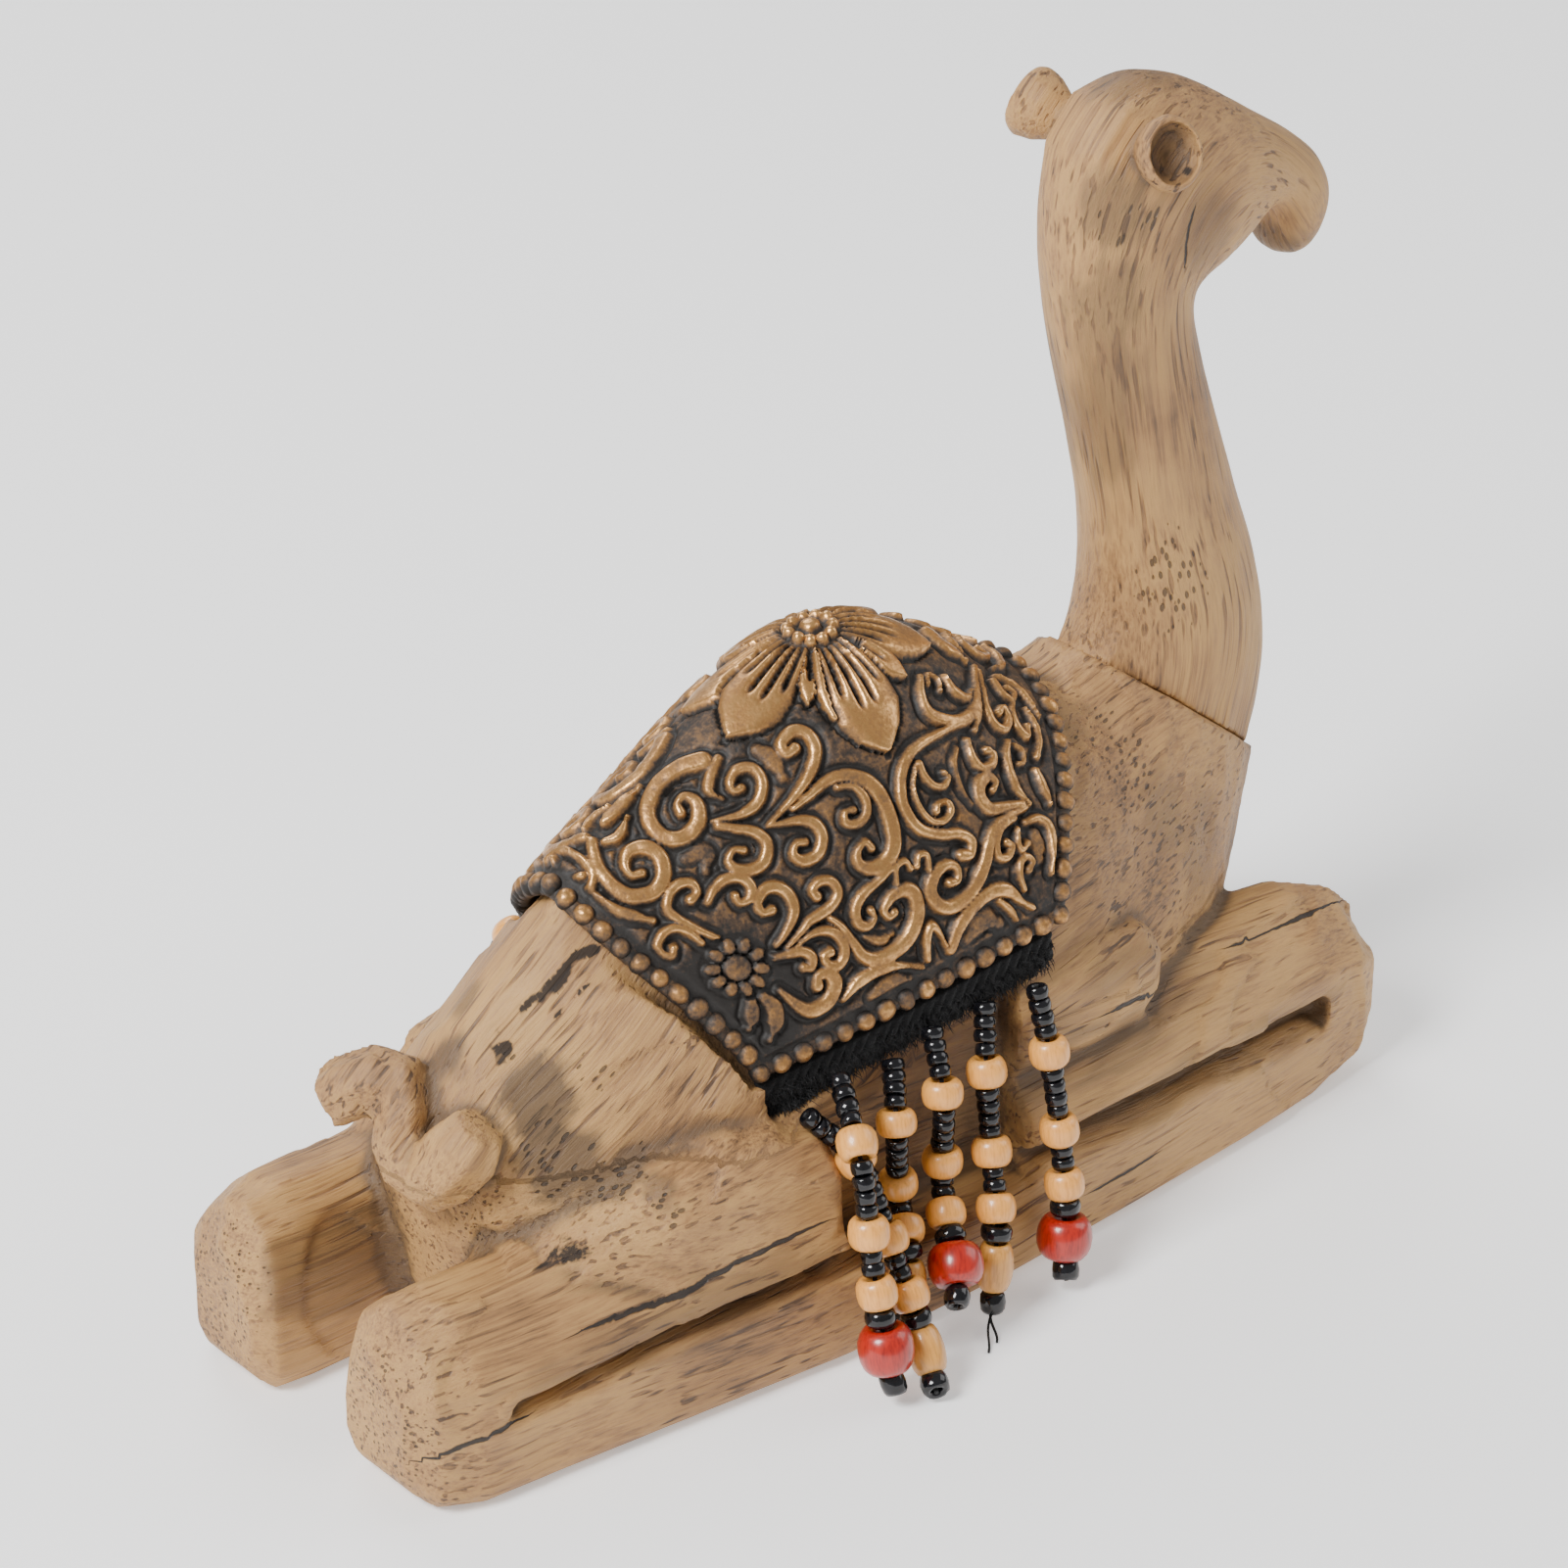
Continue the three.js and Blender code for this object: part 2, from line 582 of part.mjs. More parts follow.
// Cloth of the blanket, its outer and inner face joined all round by the beaded rim.
function rimmedCloth() {
  const points = [];
  const faces = [];
  const rows = stations(CLOTH_INSET, 1 - CLOTH_INSET, BLANKET_ROWS);
  const columns = stations(CLOTH_INSET - 1, 1 - CLOTH_INSET, BLANKET_COLUMNS);
  const width = columns.length;
  const id = (side, i, j) => side * rows.length * width + i * width + j;
  for (const height of [0, -BLANKET_THICKNESS]) {
    rows.forEach((u) => columns.forEach((v) => points.push(blanketRaised(u, v, height))));
  }
  const quad = (a, b, c, d) => faces.push([a, b, c], [a, c, d]);
  for (let i = 0; i < rows.length - 1; i += 1) {
    for (let j = 0; j < width - 1; j += 1) {
      quad(id(0, i, j), id(0, i, j + 1), id(0, i + 1, j + 1), id(0, i + 1, j));
      quad(id(1, i, j), id(1, i + 1, j), id(1, i + 1, j + 1), id(1, i, j + 1));
    }
  }
  const [lastRow, lastColumn] = [rows.length - 1, width - 1];
  const border = (side) => [
    ...columns.slice(0, -1).map((_, j) => [id(side, 0, j), j / lastColumn]),
    ...rows.slice(0, -1).map((_, i) => [id(side, i, lastColumn), 1 + i / lastRow]),
    ...columns.slice(0, -1).map((_, j) => [id(side, lastRow, lastColumn - j), 2 + j / lastColumn]),
    ...rows.slice(0, -1).map((_, i) => [id(side, lastRow - i, 0), 3 + i / lastRow]),
  ];
  const rings = rimRings();
  const base = points.length;
  const arc = RIM_ANGLES.length;
  rings.forEach((ring) => points.push(...ring.points));
  const along = (k) => rings.map((ring, i) => [base + i * arc + k, ring.share]);
  faces.push(...zipped(along(0), border(0)));
  for (let k = 1; k < arc; k += 1) faces.push(...zipped(along(k), along(k - 1)));
  faces.push(...zipped(border(1), along(arc - 1)));
  return shell(points, faces);
}

// Triangles between two closed lines of [point number, share], walked together.
function zipped(left, right) {
  const faces = [];
  const [m, n] = [left.length, right.length];
  const share = (line, k) => line[k % line.length][1] + (k >= line.length ? 4 : 0);
  let i = 0;
  let j = 0;
  while (i < m || j < n) {
    const a = left[i % m][0];
    const b = right[j % n][0];
    if (j >= n || (i < m && share(left, i + 1) <= share(right, j + 1))) {
      faces.push([a, left[(i + 1) % m][0], b]);
      i += 1;
    } else {
      faces.push([a, right[(j + 1) % n][0], b]);
      j += 1;
    }
  }
  return faces;
}

// A raised pad over an outline of (u, v) places, higher in its middle.
const PAD_ROOT = -0.8;

function pad(outline, middle, edgeHeight, middleHeight) {
  const rings = [PAD_ROOT, edgeHeight].map((height) => outline.map(([u, v]) => blanketRaised(u, v, height)));
  return capped(rings, blanketRaised(...middle, PAD_ROOT), blanketRaised(...middle, middleHeight));
}

// Flower on the crown: pointed petals around a button. [degrees from forward, length, half width]
const FLOWER = { at: [0.55, 0], notch: 8, shoulder: 0.66, ridge: 0.5, button: 4.4, buttonHeight: 1.5 };
const PETAL_HEIGHTS = { edge: 0.6, side: 0.9, middle: 1.3, gap: 0.4 };
const PETALS = [
  [24, 20, 4.8], [57, 18, 2.5], [90, 27.5, 6.8], [124, 18.5, 2.7], [160, 26.5, 6.4],
  [200, 26.5, 6.4], [236, 18.5, 2.7], [270, 27.5, 6.8], [303, 18, 2.5], [336, 20, 4.8],
];

function flower() {
  const { at, notch, shoulder, ridge, button, buttonHeight } = FLOWER;
  const place = (degrees, along, across, height) => {
    const angle = THREE.MathUtils.degToRad(degrees);
    const forward = along * Math.cos(angle) - across * Math.sin(angle);
    const leftward = along * Math.sin(angle) + across * Math.cos(angle);
    return blanketRaised(...near(...at, forward, leftward), height);
  };
  const gapAfter = (i) => {
    const turned = i === PETALS.length - 1 ? 360 : 0;
    return (PETALS[i][0] + PETALS[(i + 1) % PETALS.length][0] + turned) / 2;
  };
  const outline = (height) => PETALS.flatMap(([degrees, length, half], i) => [
    place(degrees, length * shoulder, -half, height),
    place(degrees, length, 0, height),
    place(degrees, length * shoulder, half, height),
    place(gapAfter(i), notch, 0, height),
  ]);
  const folds = PETALS.flatMap(([degrees, length], i) => [
    place(degrees - 8, length * ridge * 0.7, 0, PETAL_HEIGHTS.side),
    place(degrees, length * ridge, 0, PETAL_HEIGHTS.middle),
    place(degrees + 8, length * ridge * 0.7, 0, PETAL_HEIGHTS.side),
    place(gapAfter(i), notch * 0.8, 0, PETAL_HEIGHTS.gap),
  ]);
  const rim = PETALS.flatMap(([degrees], i) => [degrees - 6, degrees, degrees + 6, gapAfter(i)]
    .map((turn) => place(turn, button, 0, buttonHeight - 0.4)));
  return capped(
    [outline(PAD_ROOT), outline(PETAL_HEIGHTS.edge), folds, rim],
    place(0, 0, 0, PAD_ROOT - 1.5),
    place(0, 0, 0, buttonHeight),
  );
}

// Small round rosette near each rear foot
const ROSETTE = { at: [0.125, -0.64], tip: 5.6, notch: 3.6, petals: 8 };

function rosette() {
  const { at, tip, notch, petals } = ROSETTE;
  const outline = stations(0, 2 * Math.PI, 2 * petals).slice(0, 2 * petals).map((angle, i) => {
    const radius = i % 2 === 0 ? tip : notch;
    return near(...at, radius * Math.cos(angle), radius * Math.sin(angle));
  });
  return pad(outline, at, 0.8, 1.4);
}

// Scrolls of the right side: eye of the spiral, outer radius, the direction in which its outer turn
// starts (degrees from forward, seen from outside), turns with their sense, and the stem before it.
const SCROLLS = [
  { eye: [0.212, -0.147], radius: 5.8, start: 79, turns: 0.95, stem: [[0.297, -0.083]] },
  { eye: [0.31, -0.22], radius: 4.2, start: -173, turns: 0.95, stem: [[0.24, -0.27]] },
  { eye: [0.118, -0.193], radius: 5.5, start: 97, turns: 0.95, stem: [[0.15, -0.042], [0.137, -0.09]] },
  { eye: [0.245, -0.372], radius: 3.6, start: 62, turns: -0.9, stem: [[0.225, -0.28]] },
  { eye: [0.343, -0.465], radius: 3.4, start: 81, turns: -0.9, stem: [[0.3, -0.36]] },
  {
    eye: [0.445, -0.575], radius: 3.4, start: -31, turns: -0.85,
    stem: [[0.36, -0.38], [0.44, -0.36], [0.52, -0.45]],
  },
  { eye: [0.333, -0.6], radius: 3.6, start: -130, turns: 0.9, stem: [[0.235, -0.72], [0.27, -0.65]] },
  {
    eye: [0.618, -0.755], radius: 4.1, start: -67, turns: -0.9,
    stem: [[0.79, -0.6], [0.76, -0.71], [0.69, -0.79]],
  },
];
const SCROLL_STATIONS = 8;
const SCROLL_HALF_WIDTH = 1.6;
const SCROLL_EYE = 1.2;
const SCROLL_RISE = 1.3;

function scrollBand({ eye, radius, start, turns, stem }) {
  const spiral = stations(0, 1, 5).map((t) => {
    const angle = THREE.MathUtils.degToRad(start + 360 * turns * t);
    const reach = lerp(radius - SCROLL_HALF_WIDTH, SCROLL_EYE, t);
    return near(...eye, reach * Math.cos(angle), reach * Math.sin(angle));
  });
  const line = [...stem, ...spiral].map(([u, v]) => new THREE.Vector3(u, v, 0));
  const path = new THREE.CatmullRomCurve3(line);
  const spots = stations(0, 1, SCROLL_STATIONS).map((t) => path.getPoint(t));
  const rings = spots.map((spot, i) => {
    const before = blanketPoint(spots[Math.max(i - 1, 0)].x, spots[Math.max(i - 1, 0)].y);
    const next = Math.min(i + 1, SCROLL_STATIONS);
    const after = blanketPoint(spots[next].x, spots[next].y);
    const out = blanketNormal(spot.x, spot.y);
    const side = after.sub(before).cross(out).normalize();
    const half = SCROLL_HALF_WIDTH * (i === 0 || i === SCROLL_STATIONS ? 0.4 : 1);
    const base = blanketRaised(spot.x, spot.y, PAD_ROOT);
    return [
      base.clone().addScaledVector(side, half),
      blanketRaised(spot.x, spot.y, SCROLL_RISE),
      base.clone().addScaledVector(side, -half),
    ];
  });
  return loft(rings);
}

// Fringe tape: a strip of braid under the lower rim of the blanket
const TAPE = { thickness: 1.8, height: 6.5, drop: 2.6, inset: 3.1, steps: 6 };

function tapeBar(margin = 0) {
  const { thickness, height, drop, inset, steps } = TAPE;
  const rings = stations(0.02, 0.97, steps).map((t) => {
    const foot = blanketPoint(t, -1);
    const outer = -foot.y - inset + thickness;
    const top = foot.z - drop + (margin > 0 ? 3 : 0);
    const low = foot.z - drop - height - margin;
    const reach = margin > 0 ? outer + 12 : outer;
    return [[outer - thickness - margin, top], [reach, top], [reach, low], [outer - thickness - margin, low]]
      .map(([y, z]) => new THREE.Vector3(foot.x, -y, z));
  });
  if (margin > 0) {
    rings[0].forEach((p) => { p.x -= margin; });
    rings[steps].forEach((p) => { p.x += margin; });
  }
  return loft(rings);
}

// Beads: radius and length along the strand
const BEADS = {
  seed: { radius: 2.08, length: 2.6 },
  pale: { radius: 3.72, length: 5.9 },
  disc: { radius: 2.85, length: 3.4 },
  red: { radius: 5.3, length: 8.7 },
  oval: { radius: 3.45, length: 10 },
  end: { radius: 2.5, length: 4.4 },
};
const THREAD_RADIUS = 0.55;
const STRAND_SIDES = 4;
const ACCENT_SIDES = 6;
const BEAD_WAIST = 1.3;
const ACCENT_CLEARANCE = 0.45;
const ACCENT_END_GAP = 0.7;
const ACCENT_FLAT = 0.35;

// Order of the beads from the tape down; the accent bead is a piece of its own.
const PATTERN = [
  'seed', 'seed', 'seed', 'seed', 'pale', 'seed', 'seed', 'seed', 'seed', 'pale', 'seed', 'seed', 'pale',
  'disc', 'accent', 'end',
];

// Strands of the right side from rear to front: accent bead and the line they hang along.
const STRANDS = [
  {
    accent: 'oval',
    line: [
      [-34.8, 37.8, 49.6], [-27.5, 43.9, 39.6], [-26.5, 51, 25.5],
      [-26, 56, 16.3], [-25.3, 60, 5.8], [-28.7, 66, 3],
    ],
  },
  {
    accent: 'red',
    line: [
      [-27.3, 38, 54.6], [-32.7, 50, 45.2], [-33.8, 54, 29.3],
      [-34.4, 57, 19.4], [-34.4, 59.5, 8.6], [-34.2, 61.5, 3],
    ],
  },
  {
    accent: 'oval',
    line: [
      [-13.7, 37.2, 52.2], [-18, 43, 43], [-16.2, 41.8, 27.2],
      [-19.5, 47.4, 23.4], [-22, 50.8, 12.5], [-22.4, 51.3, 7.2],
    ],
  },
  {
    accent: 'red',
    line: [
      [-5.6, 38.3, 56.2], [-7.8, 44, 45.6], [-7, 43.2, 28.6],
      [-10.4, 48, 23], [-13.6, 55, 16.4], [-17.4, 58.4, 12],
    ],
  },
  {
    accent: 'oval',
    line: [
      [5.7, 39.9, 57.6], [2.8, 43.8, 46.1], [2.1, 46.5, 29.6],
      [-0.7, 51, 20.5], [-3, 53, 8.8], [-4.3, 54, 3],
    ],
  },
  {
    accent: 'red',
    line: [
      [14.9, 43.4, 59], [15.2, 47.2, 46], [16, 50, 27.5],
      [15.4, 52, 17.5], [14.2, 53.2, 7.6], [12.9, 55.5, 3],
    ],
  },
];

// A strand as one string of beads, and its accent bead, bored and threaded on it.
function strandPieces({ accent, line }) {
  const knots = line.map(([x, y, z]) => new THREE.Vector3(x, -y, z));
  const path = new THREE.CatmullRomCurve3(knots, false, 'centripetal');
  const beads = PATTERN.map((name) => BEADS[name === 'accent' ? accent : name]);
  const total = beads.reduce((sum, bead) => sum + bead.length, 0);
  const rings = [];
  let accentBead = null;
  let travelled = 0;
  beads.forEach((bead, i) => {
    const from = path.getPointAt(travelled / total);
    travelled = Math.min(travelled + bead.length, total);
    const to = path.getPointAt(travelled / total);
    const along = to.clone().sub(from).normalize();
    if (PATTERN[i] === 'accent') {
      rings.push(beadRing(from, along, THREAD_RADIUS), beadRing(to, along, THREAD_RADIUS));
      accentBead = boredBead(from, to, bead);
      return;
    }
    const middle = from.clone().lerp(to, 0.5);
    if (i === 0) rings.push(beadRing(from, along, THREAD_RADIUS));
    else if (PATTERN[i - 1] !== 'accent') rings.push(beadRing(from, along, BEAD_WAIST));
    rings.push(beadRing(middle, along, bead.radius));
  });
  rings.push(beadRing(path.getPointAt(1), path.getTangentAt(1), BEAD_WAIST));
  return { string: loft(rings), accentBead };
}

// Ring of a strand around a point, square to its line and turned the same way all along.
function beadRing(middle, along, radius) {
  const across = new THREE.Vector3(1, 0, 0).addScaledVector(along, -along.x).normalize();
  const other = new THREE.Vector3().crossVectors(along, across);
  return Array.from({ length: STRAND_SIDES }, (_, k) => {
    const angle = (2 * Math.PI * k) / STRAND_SIDES;
    return middle.clone()
      .addScaledVector(across, Math.cos(angle) * radius)
      .addScaledVector(other, Math.sin(angle) * radius);
  });
}

function boredBead(from, to, { radius, length }) {
  const bore = THREAD_RADIUS + ACCENT_CLEARANCE;
  const half = length / 2 - ACCENT_END_GAP;
  const flat = half * ACCENT_FLAT;
  const profile = [[bore, -half], [radius, -flat], [radius, flat], [bore, half], [bore, -half]];
  const bead = new THREE.LatheGeometry(profile.map(([r, h]) => new THREE.Vector2(r, h)), ACCENT_SIDES);
  const axis = to.clone().sub(from).normalize();
  bead.applyQuaternion(new THREE.Quaternion().setFromUnitVectors(new THREE.Vector3(0, 1, 0), axis));
  bead.translate(...from.clone().lerp(to, 0.5).toArray());
  return bead;
}

const statue = new THREE.Group();

function addPart(name, geometry, finish) {
  const flat = geometry.toNonIndexed();
  flat.computeVertexNormals();
  const mesh = new THREE.Mesh(flat, new THREE.MeshStandardMaterial(finish));
  mesh.name = name;
  statue.add(mesh);
}

const slice = seamSlice();
addPart('camel_body', geometryOf(largest(bodySolid().subtract(slice))), WOOD_LOOK);
addPart('neck_and_head', geometryOf(neckSolid().subtract(slice)), WOOD_LOOK);
addPart('saddle_blanket', geometryOf(largest(blanketSolid())), BRONZE_LOOK);
addPart('fringe_tape_right', tapeBar(), BRAID_BLACK);
addPart('fringe_tape_left', mirrored(tapeBar()), BRAID_BLACK);
STRANDS.forEach((strand, i) => {
  const { string, accentBead } = strandPieces(strand);
  const place = i + 1;
  const finish = strand.accent === 'red' ? BEAD_RED : BEAD_HONEY;
  addPart(`bead_strand_right_${place}`, string, BEAD_BLACK);
  addPart(`bead_strand_left_${place}`, mirrored(string), BEAD_BLACK);
  addPart(`accent_bead_right_${place}`, accentBead, finish);
  addPart(`accent_bead_left_${place}`, mirrored(accentBead), finish);
});

// The origin is the middle of the underside.
const bounds = new THREE.Box3().setFromObject(statue);
const middle = bounds.getCenter(new THREE.Vector3());
statue.children.forEach((mesh) => mesh.geometry.translate(-middle.x, -middle.y, -bounds.min.z));

export default statue;
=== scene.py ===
"""Looks of the lying camel statue: cast resin coloured as carved driftwood, a bronze-look saddle
blanket over the hump, and beaded tassels on a dark braid along both sides.

Metres in the scene, millimetres in the sizes of the pieces. The camel faces +X, its left is +Y.
"""

import json
import logging
import math
import random
from dataclasses import dataclass, field
from enum import Enum
from typing import Any, Iterable, Sequence

import bpy
import numpy as np
from mathutils import Matrix, Vector, kdtree, noise

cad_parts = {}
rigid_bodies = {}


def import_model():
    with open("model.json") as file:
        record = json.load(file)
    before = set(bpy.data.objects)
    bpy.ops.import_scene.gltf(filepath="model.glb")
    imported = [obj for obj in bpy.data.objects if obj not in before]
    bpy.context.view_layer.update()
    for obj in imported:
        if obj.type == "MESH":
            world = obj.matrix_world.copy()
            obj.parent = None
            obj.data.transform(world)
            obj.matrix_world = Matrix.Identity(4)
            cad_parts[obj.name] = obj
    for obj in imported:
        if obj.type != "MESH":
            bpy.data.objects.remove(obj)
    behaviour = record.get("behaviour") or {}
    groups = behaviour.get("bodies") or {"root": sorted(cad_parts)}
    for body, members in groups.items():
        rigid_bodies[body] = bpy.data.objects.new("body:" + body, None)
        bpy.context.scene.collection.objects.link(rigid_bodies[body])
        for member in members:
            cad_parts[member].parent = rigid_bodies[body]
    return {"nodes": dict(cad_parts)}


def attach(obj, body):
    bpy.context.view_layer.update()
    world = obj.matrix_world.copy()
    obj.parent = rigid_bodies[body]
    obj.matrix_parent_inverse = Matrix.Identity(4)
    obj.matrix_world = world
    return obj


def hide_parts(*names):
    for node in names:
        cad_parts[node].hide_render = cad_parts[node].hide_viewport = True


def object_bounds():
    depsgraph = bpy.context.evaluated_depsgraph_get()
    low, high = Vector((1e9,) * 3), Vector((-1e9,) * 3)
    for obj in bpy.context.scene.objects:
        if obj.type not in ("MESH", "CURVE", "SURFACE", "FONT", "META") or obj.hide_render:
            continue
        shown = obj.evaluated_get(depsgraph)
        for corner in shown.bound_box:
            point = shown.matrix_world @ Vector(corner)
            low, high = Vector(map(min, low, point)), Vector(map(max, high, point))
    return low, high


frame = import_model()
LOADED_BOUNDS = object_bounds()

LOG = logging.getLogger("camel_statue")
MM = 0.001
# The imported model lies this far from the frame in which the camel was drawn.
SHIFT_X = -3.2248
# Shift in waves between the noises of two seeds.
NOISE_SHIFT = 7.31
# How far from a crack its distance is marked, in millimetres.
CRACK_REACH = 6.0
# Edges sharper than this many degrees stay sharp on a round piece.
ROUND_ANGLE = 80.0

Point = Sequence[float]
Piece = bpy.types.Object
Material = bpy.types.Material
Tree = bpy.types.NodeTree
Socket = bpy.types.NodeSocket


class Side(Enum):
    """The camel's own right and left."""

    RIGHT = "right"
    LEFT = "left"

    @property
    def sign(self) -> float:
        """Sign of y on this side."""
        return -1.0 if self is Side.RIGHT else 1.0


class Slot(Enum):
    """Material slots of the record."""

    WOOD = "wood_look_resin"
    BRONZE = "bronze_look_resin"
    BRAID = "black_braid"
    GLASS = "black_glass_beads"
    RED = "red_wood_bead"
    HONEY = "honey_wood_bead"


# Small helpers for numbers


def placed(spots: Sequence[Point]) -> np.ndarray:
    """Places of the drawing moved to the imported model's frame, in millimetres."""
    return np.array(spots, dtype=float) + np.array([SHIFT_X, 0.0, 0.0])


def kept_inside(places: np.ndarray) -> np.ndarray:
    """Places in millimetres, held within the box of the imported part."""
    low, high = (np.array(corner) / MM for corner in LOADED_BOUNDS)
    return np.clip(places, low, high)


def lerp(a: Any, b: Any, t: Any) -> Any:
    """Straight mix from a to b by the share t."""
    return a + (b - a) * t


def smooth(low: float, high: float, value: np.ndarray) -> np.ndarray:
    """Smooth step from 0 at low to 1 at high.

    Args:
        low: value where the step starts.
        high: value where the step ends.
        value: values to take the step of.

    Returns:
        The step's height for each value.
    """
    t = np.clip((value - low) / (high - low), 0.0, 1.0)
    return t * t * (3.0 - 2.0 * t)


def travelled_along(places: np.ndarray) -> np.ndarray:
    """Distance travelled along a line from its first place to each place."""
    return np.concatenate([[0], np.cumsum(np.linalg.norm(np.diff(places, axis=0), axis=1))])


def noise_at(points: np.ndarray, scale: Point, seed: float) -> np.ndarray:
    """Smooth noise from about -1 to 1 at points.

    Args:
        points: n by 3 places in millimetres.
        scale: waves per millimetre along each axis.
        seed: shift that makes one noise differ from another.

    Returns:
        One value per point.
    """
    waves = points * np.array(scale) + seed * NOISE_SHIFT
    return np.array([noise.noise(p) for p in waves.tolist()])


def linear(hex_colour: str) -> tuple[float, float, float, float]:
    """Linear colour of an sRGB hex value.

    Args:
        hex_colour: six hex digits.

    Returns:
        Red, green, blue and alpha for a shader socket.
    """
    parts = [int(hex_colour[i : i + 2], 16) / 255 for i in (0, 2, 4)]
    made = [c / 12.92 if c <= 0.04045 else ((c + 0.055) / 1.055) ** 2.4 for c in parts]
    return (made[0], made[1], made[2], 1.0)


# Meshes


def piece_from(name: str, points: np.ndarray, faces: Iterable[Sequence[int]]) -> Piece:
    """Object at the origin from points and faces.

    Args:
        name: name of the object.
        points: n by 3 places in millimetres.
        faces: point numbers of each face.

    Returns:
        The new object, linked to the scene.
    """
    mesh = bpy.data.meshes.new(name)
    mesh.from_pydata((points * MM).tolist(), [], [tuple(f) for f in faces])
    mesh.update()
    made = bpy.data.objects.new(name, mesh)
    bpy.context.scene.collection.objects.link(made)
    return made


def choose_none() -> None:
    """Deselects every object."""
    for other in bpy.context.view_layer.objects:
        other.select_set(False)


def choose(piece: Piece) -> None:
    """Makes the piece the only selected and the active object."""
    choose_none()
    piece.select_set(True)
    bpy.context.view_layer.objects.active = piece


def tidy_surface(piece: Piece, distance: float | None = 0.01) -> None:
    """Merges doubled points and turns all faces outwards.

    Args:
        piece: object to tidy.
        distance: reach of the merging in millimetres, or None to merge nothing.
    """
    choose(piece)
    bpy.ops.object.mode_set(mode="EDIT")
    bpy.ops.mesh.select_all(action="SELECT")
    if distance is not None:
        bpy.ops.mesh.remove_doubles(threshold=distance * MM)
    bpy.ops.mesh.normals_make_consistent(inside=False)
    bpy.ops.object.mode_set(mode="OBJECT")


def applied(piece: Piece, kind: str, **settings: Any) -> None:
    """Adds a modifier with its settings and applies it.

    Args:
        piece: object to change.
        kind: type of the modifier.
        settings: its values by name.
    """
    choose(piece)
    modifier = piece.modifiers.new(kind.lower(), kind)
    for key, value in settings.items():
        setattr(modifier, key, value)
    bpy.ops.object.modifier_apply(modifier=modifier.name)


def grid_faces(ids: np.ndarray) -> np.ndarray:
    """Four-sided faces between the neighbours in a grid of point numbers."""
    corners = [ids[:-1, :-1], ids[:-1, 1:], ids[1:, 1:], ids[1:, :-1]]
    return np.stack(corners, axis=-1).reshape(-1, 4)


def points_of(piece: Piece) -> np.ndarray:
    """Points of the piece in millimetres, n by 3."""
    flat = np.empty(len(piece.data.vertices) * 3)
    piece.data.vertices.foreach_get("co", flat)
    return flat.reshape(-1, 3) / MM


def normals_of(piece: Piece) -> np.ndarray:
    """Point normals of the piece, n by 3."""
    flat = np.empty(len(piece.data.vertices) * 3)
    piece.data.vertices.foreach_get("normal", flat)
    return flat.reshape(-1, 3)


def place_points(piece: Piece, points: np.ndarray) -> None:
    """Moves the piece's points to places in millimetres."""
    piece.data.vertices.foreach_set("co", (points * MM).ravel())
    piece.data.update()


def mark(piece: Piece, name: str, values: np.ndarray) -> None:
    """Stores one number or one vector per point under a name.

    Args:
        piece: object to mark.
        name: name of the attribute.
        values: n numbers, or n by 3.
    """
    kind, key = ("FLOAT", "value") if values.ndim == 1 else ("FLOAT_VECTOR", "vector")
    attribute = piece.data.attributes.new(name, kind, "POINT")
    attribute.data.foreach_set(key, values.astype(np.float32).ravel())


def neighbour_mean(piece: Piece, values: np.ndarray, rounds: int) -> np.ndarray:
    """Values averaged over the points joined by edges, several times over.

    Args:
        piece: object whose edges join the points.
        values: n numbers, or n by 3.
        rounds: how many times to average.

    Returns:
        The averaged values.
    """
    edges = np.empty(len(piece.data.edges) * 2, dtype=np.int64)
    piece.data.edges.foreach_get("vertices", edges)
    a, b = edges.reshape(-1, 2).T
    count = len(values)
    degree = np.bincount(a, minlength=count) + np.bincount(b, minlength=count)
    mixed = values.reshape(count, -1).copy()
    for _ in range(rounds):
        total = np.zeros_like(mixed)
        for column in range(mixed.shape[1]):
            total[:, column] = np.bincount(a, mixed[b, column], count)
            total[:, column] += np.bincount(b, mixed[a, column], count)
        mixed = 0.5 * mixed + 0.5 * total / np.maximum(degree, 1)[:, None]
    return mixed.reshape(values.shape)


def hollowness(piece: Piece, rounds: int) -> np.ndarray:
    """How far each point lies below the mean of what is around it, in millimetres."""
    places = points_of(piece)
    return ((neighbour_mean(piece, places, rounds) - places) * normals_of(piece)).sum(axis=1)


def finish_piece(
    piece: Piece, material: Material, nodes: Sequence[str], smooth_angle: float = 40.0
) -> Piece:
    """Gives a piece its material and body, and lets it stand for its CAD nodes.

    Args:
        piece: finished mesh at the origin.
        material: its finish.
        nodes: CAD nodes that it replaces.
        smooth_angle: edges sharper than this many degrees stay sharp.

    Returns:
        The same piece.
    """
    piece.data.materials.clear()
    piece.data.materials.append(material)
    choose(piece)
    bpy.ops.object.shade_smooth_by_angle(angle=math.radians(smooth_angle))
    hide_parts(*nodes)
    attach(piece, "root")
    piece.data.calc_loop_triangles()
    LOG.info("%s: %d triangles", piece.name, len(piece.data.loop_triangles))
    return piece


# Materials


def add_node(
    tree: Tree, kind: str, inputs: dict[Any, Any] | None = None, **settings: Any
) -> bpy.types.Node:
    """Adds a node with its settings and links.

    Args:
        tree: node tree of the material.
        kind: type of the node.
        inputs: values or sockets by the input's name or number.
        settings: the node's own properties.

    Returns:
        The new node.
    """
    made = tree.nodes.new(kind)
    for key, value in settings.items():
        setattr(made, key, value)
    for key, value in (inputs or {}).items():
        if isinstance(value, Socket):
            tree.links.new(value, made.inputs[key])
        else:
            made.inputs[key].default_value = value
    return made


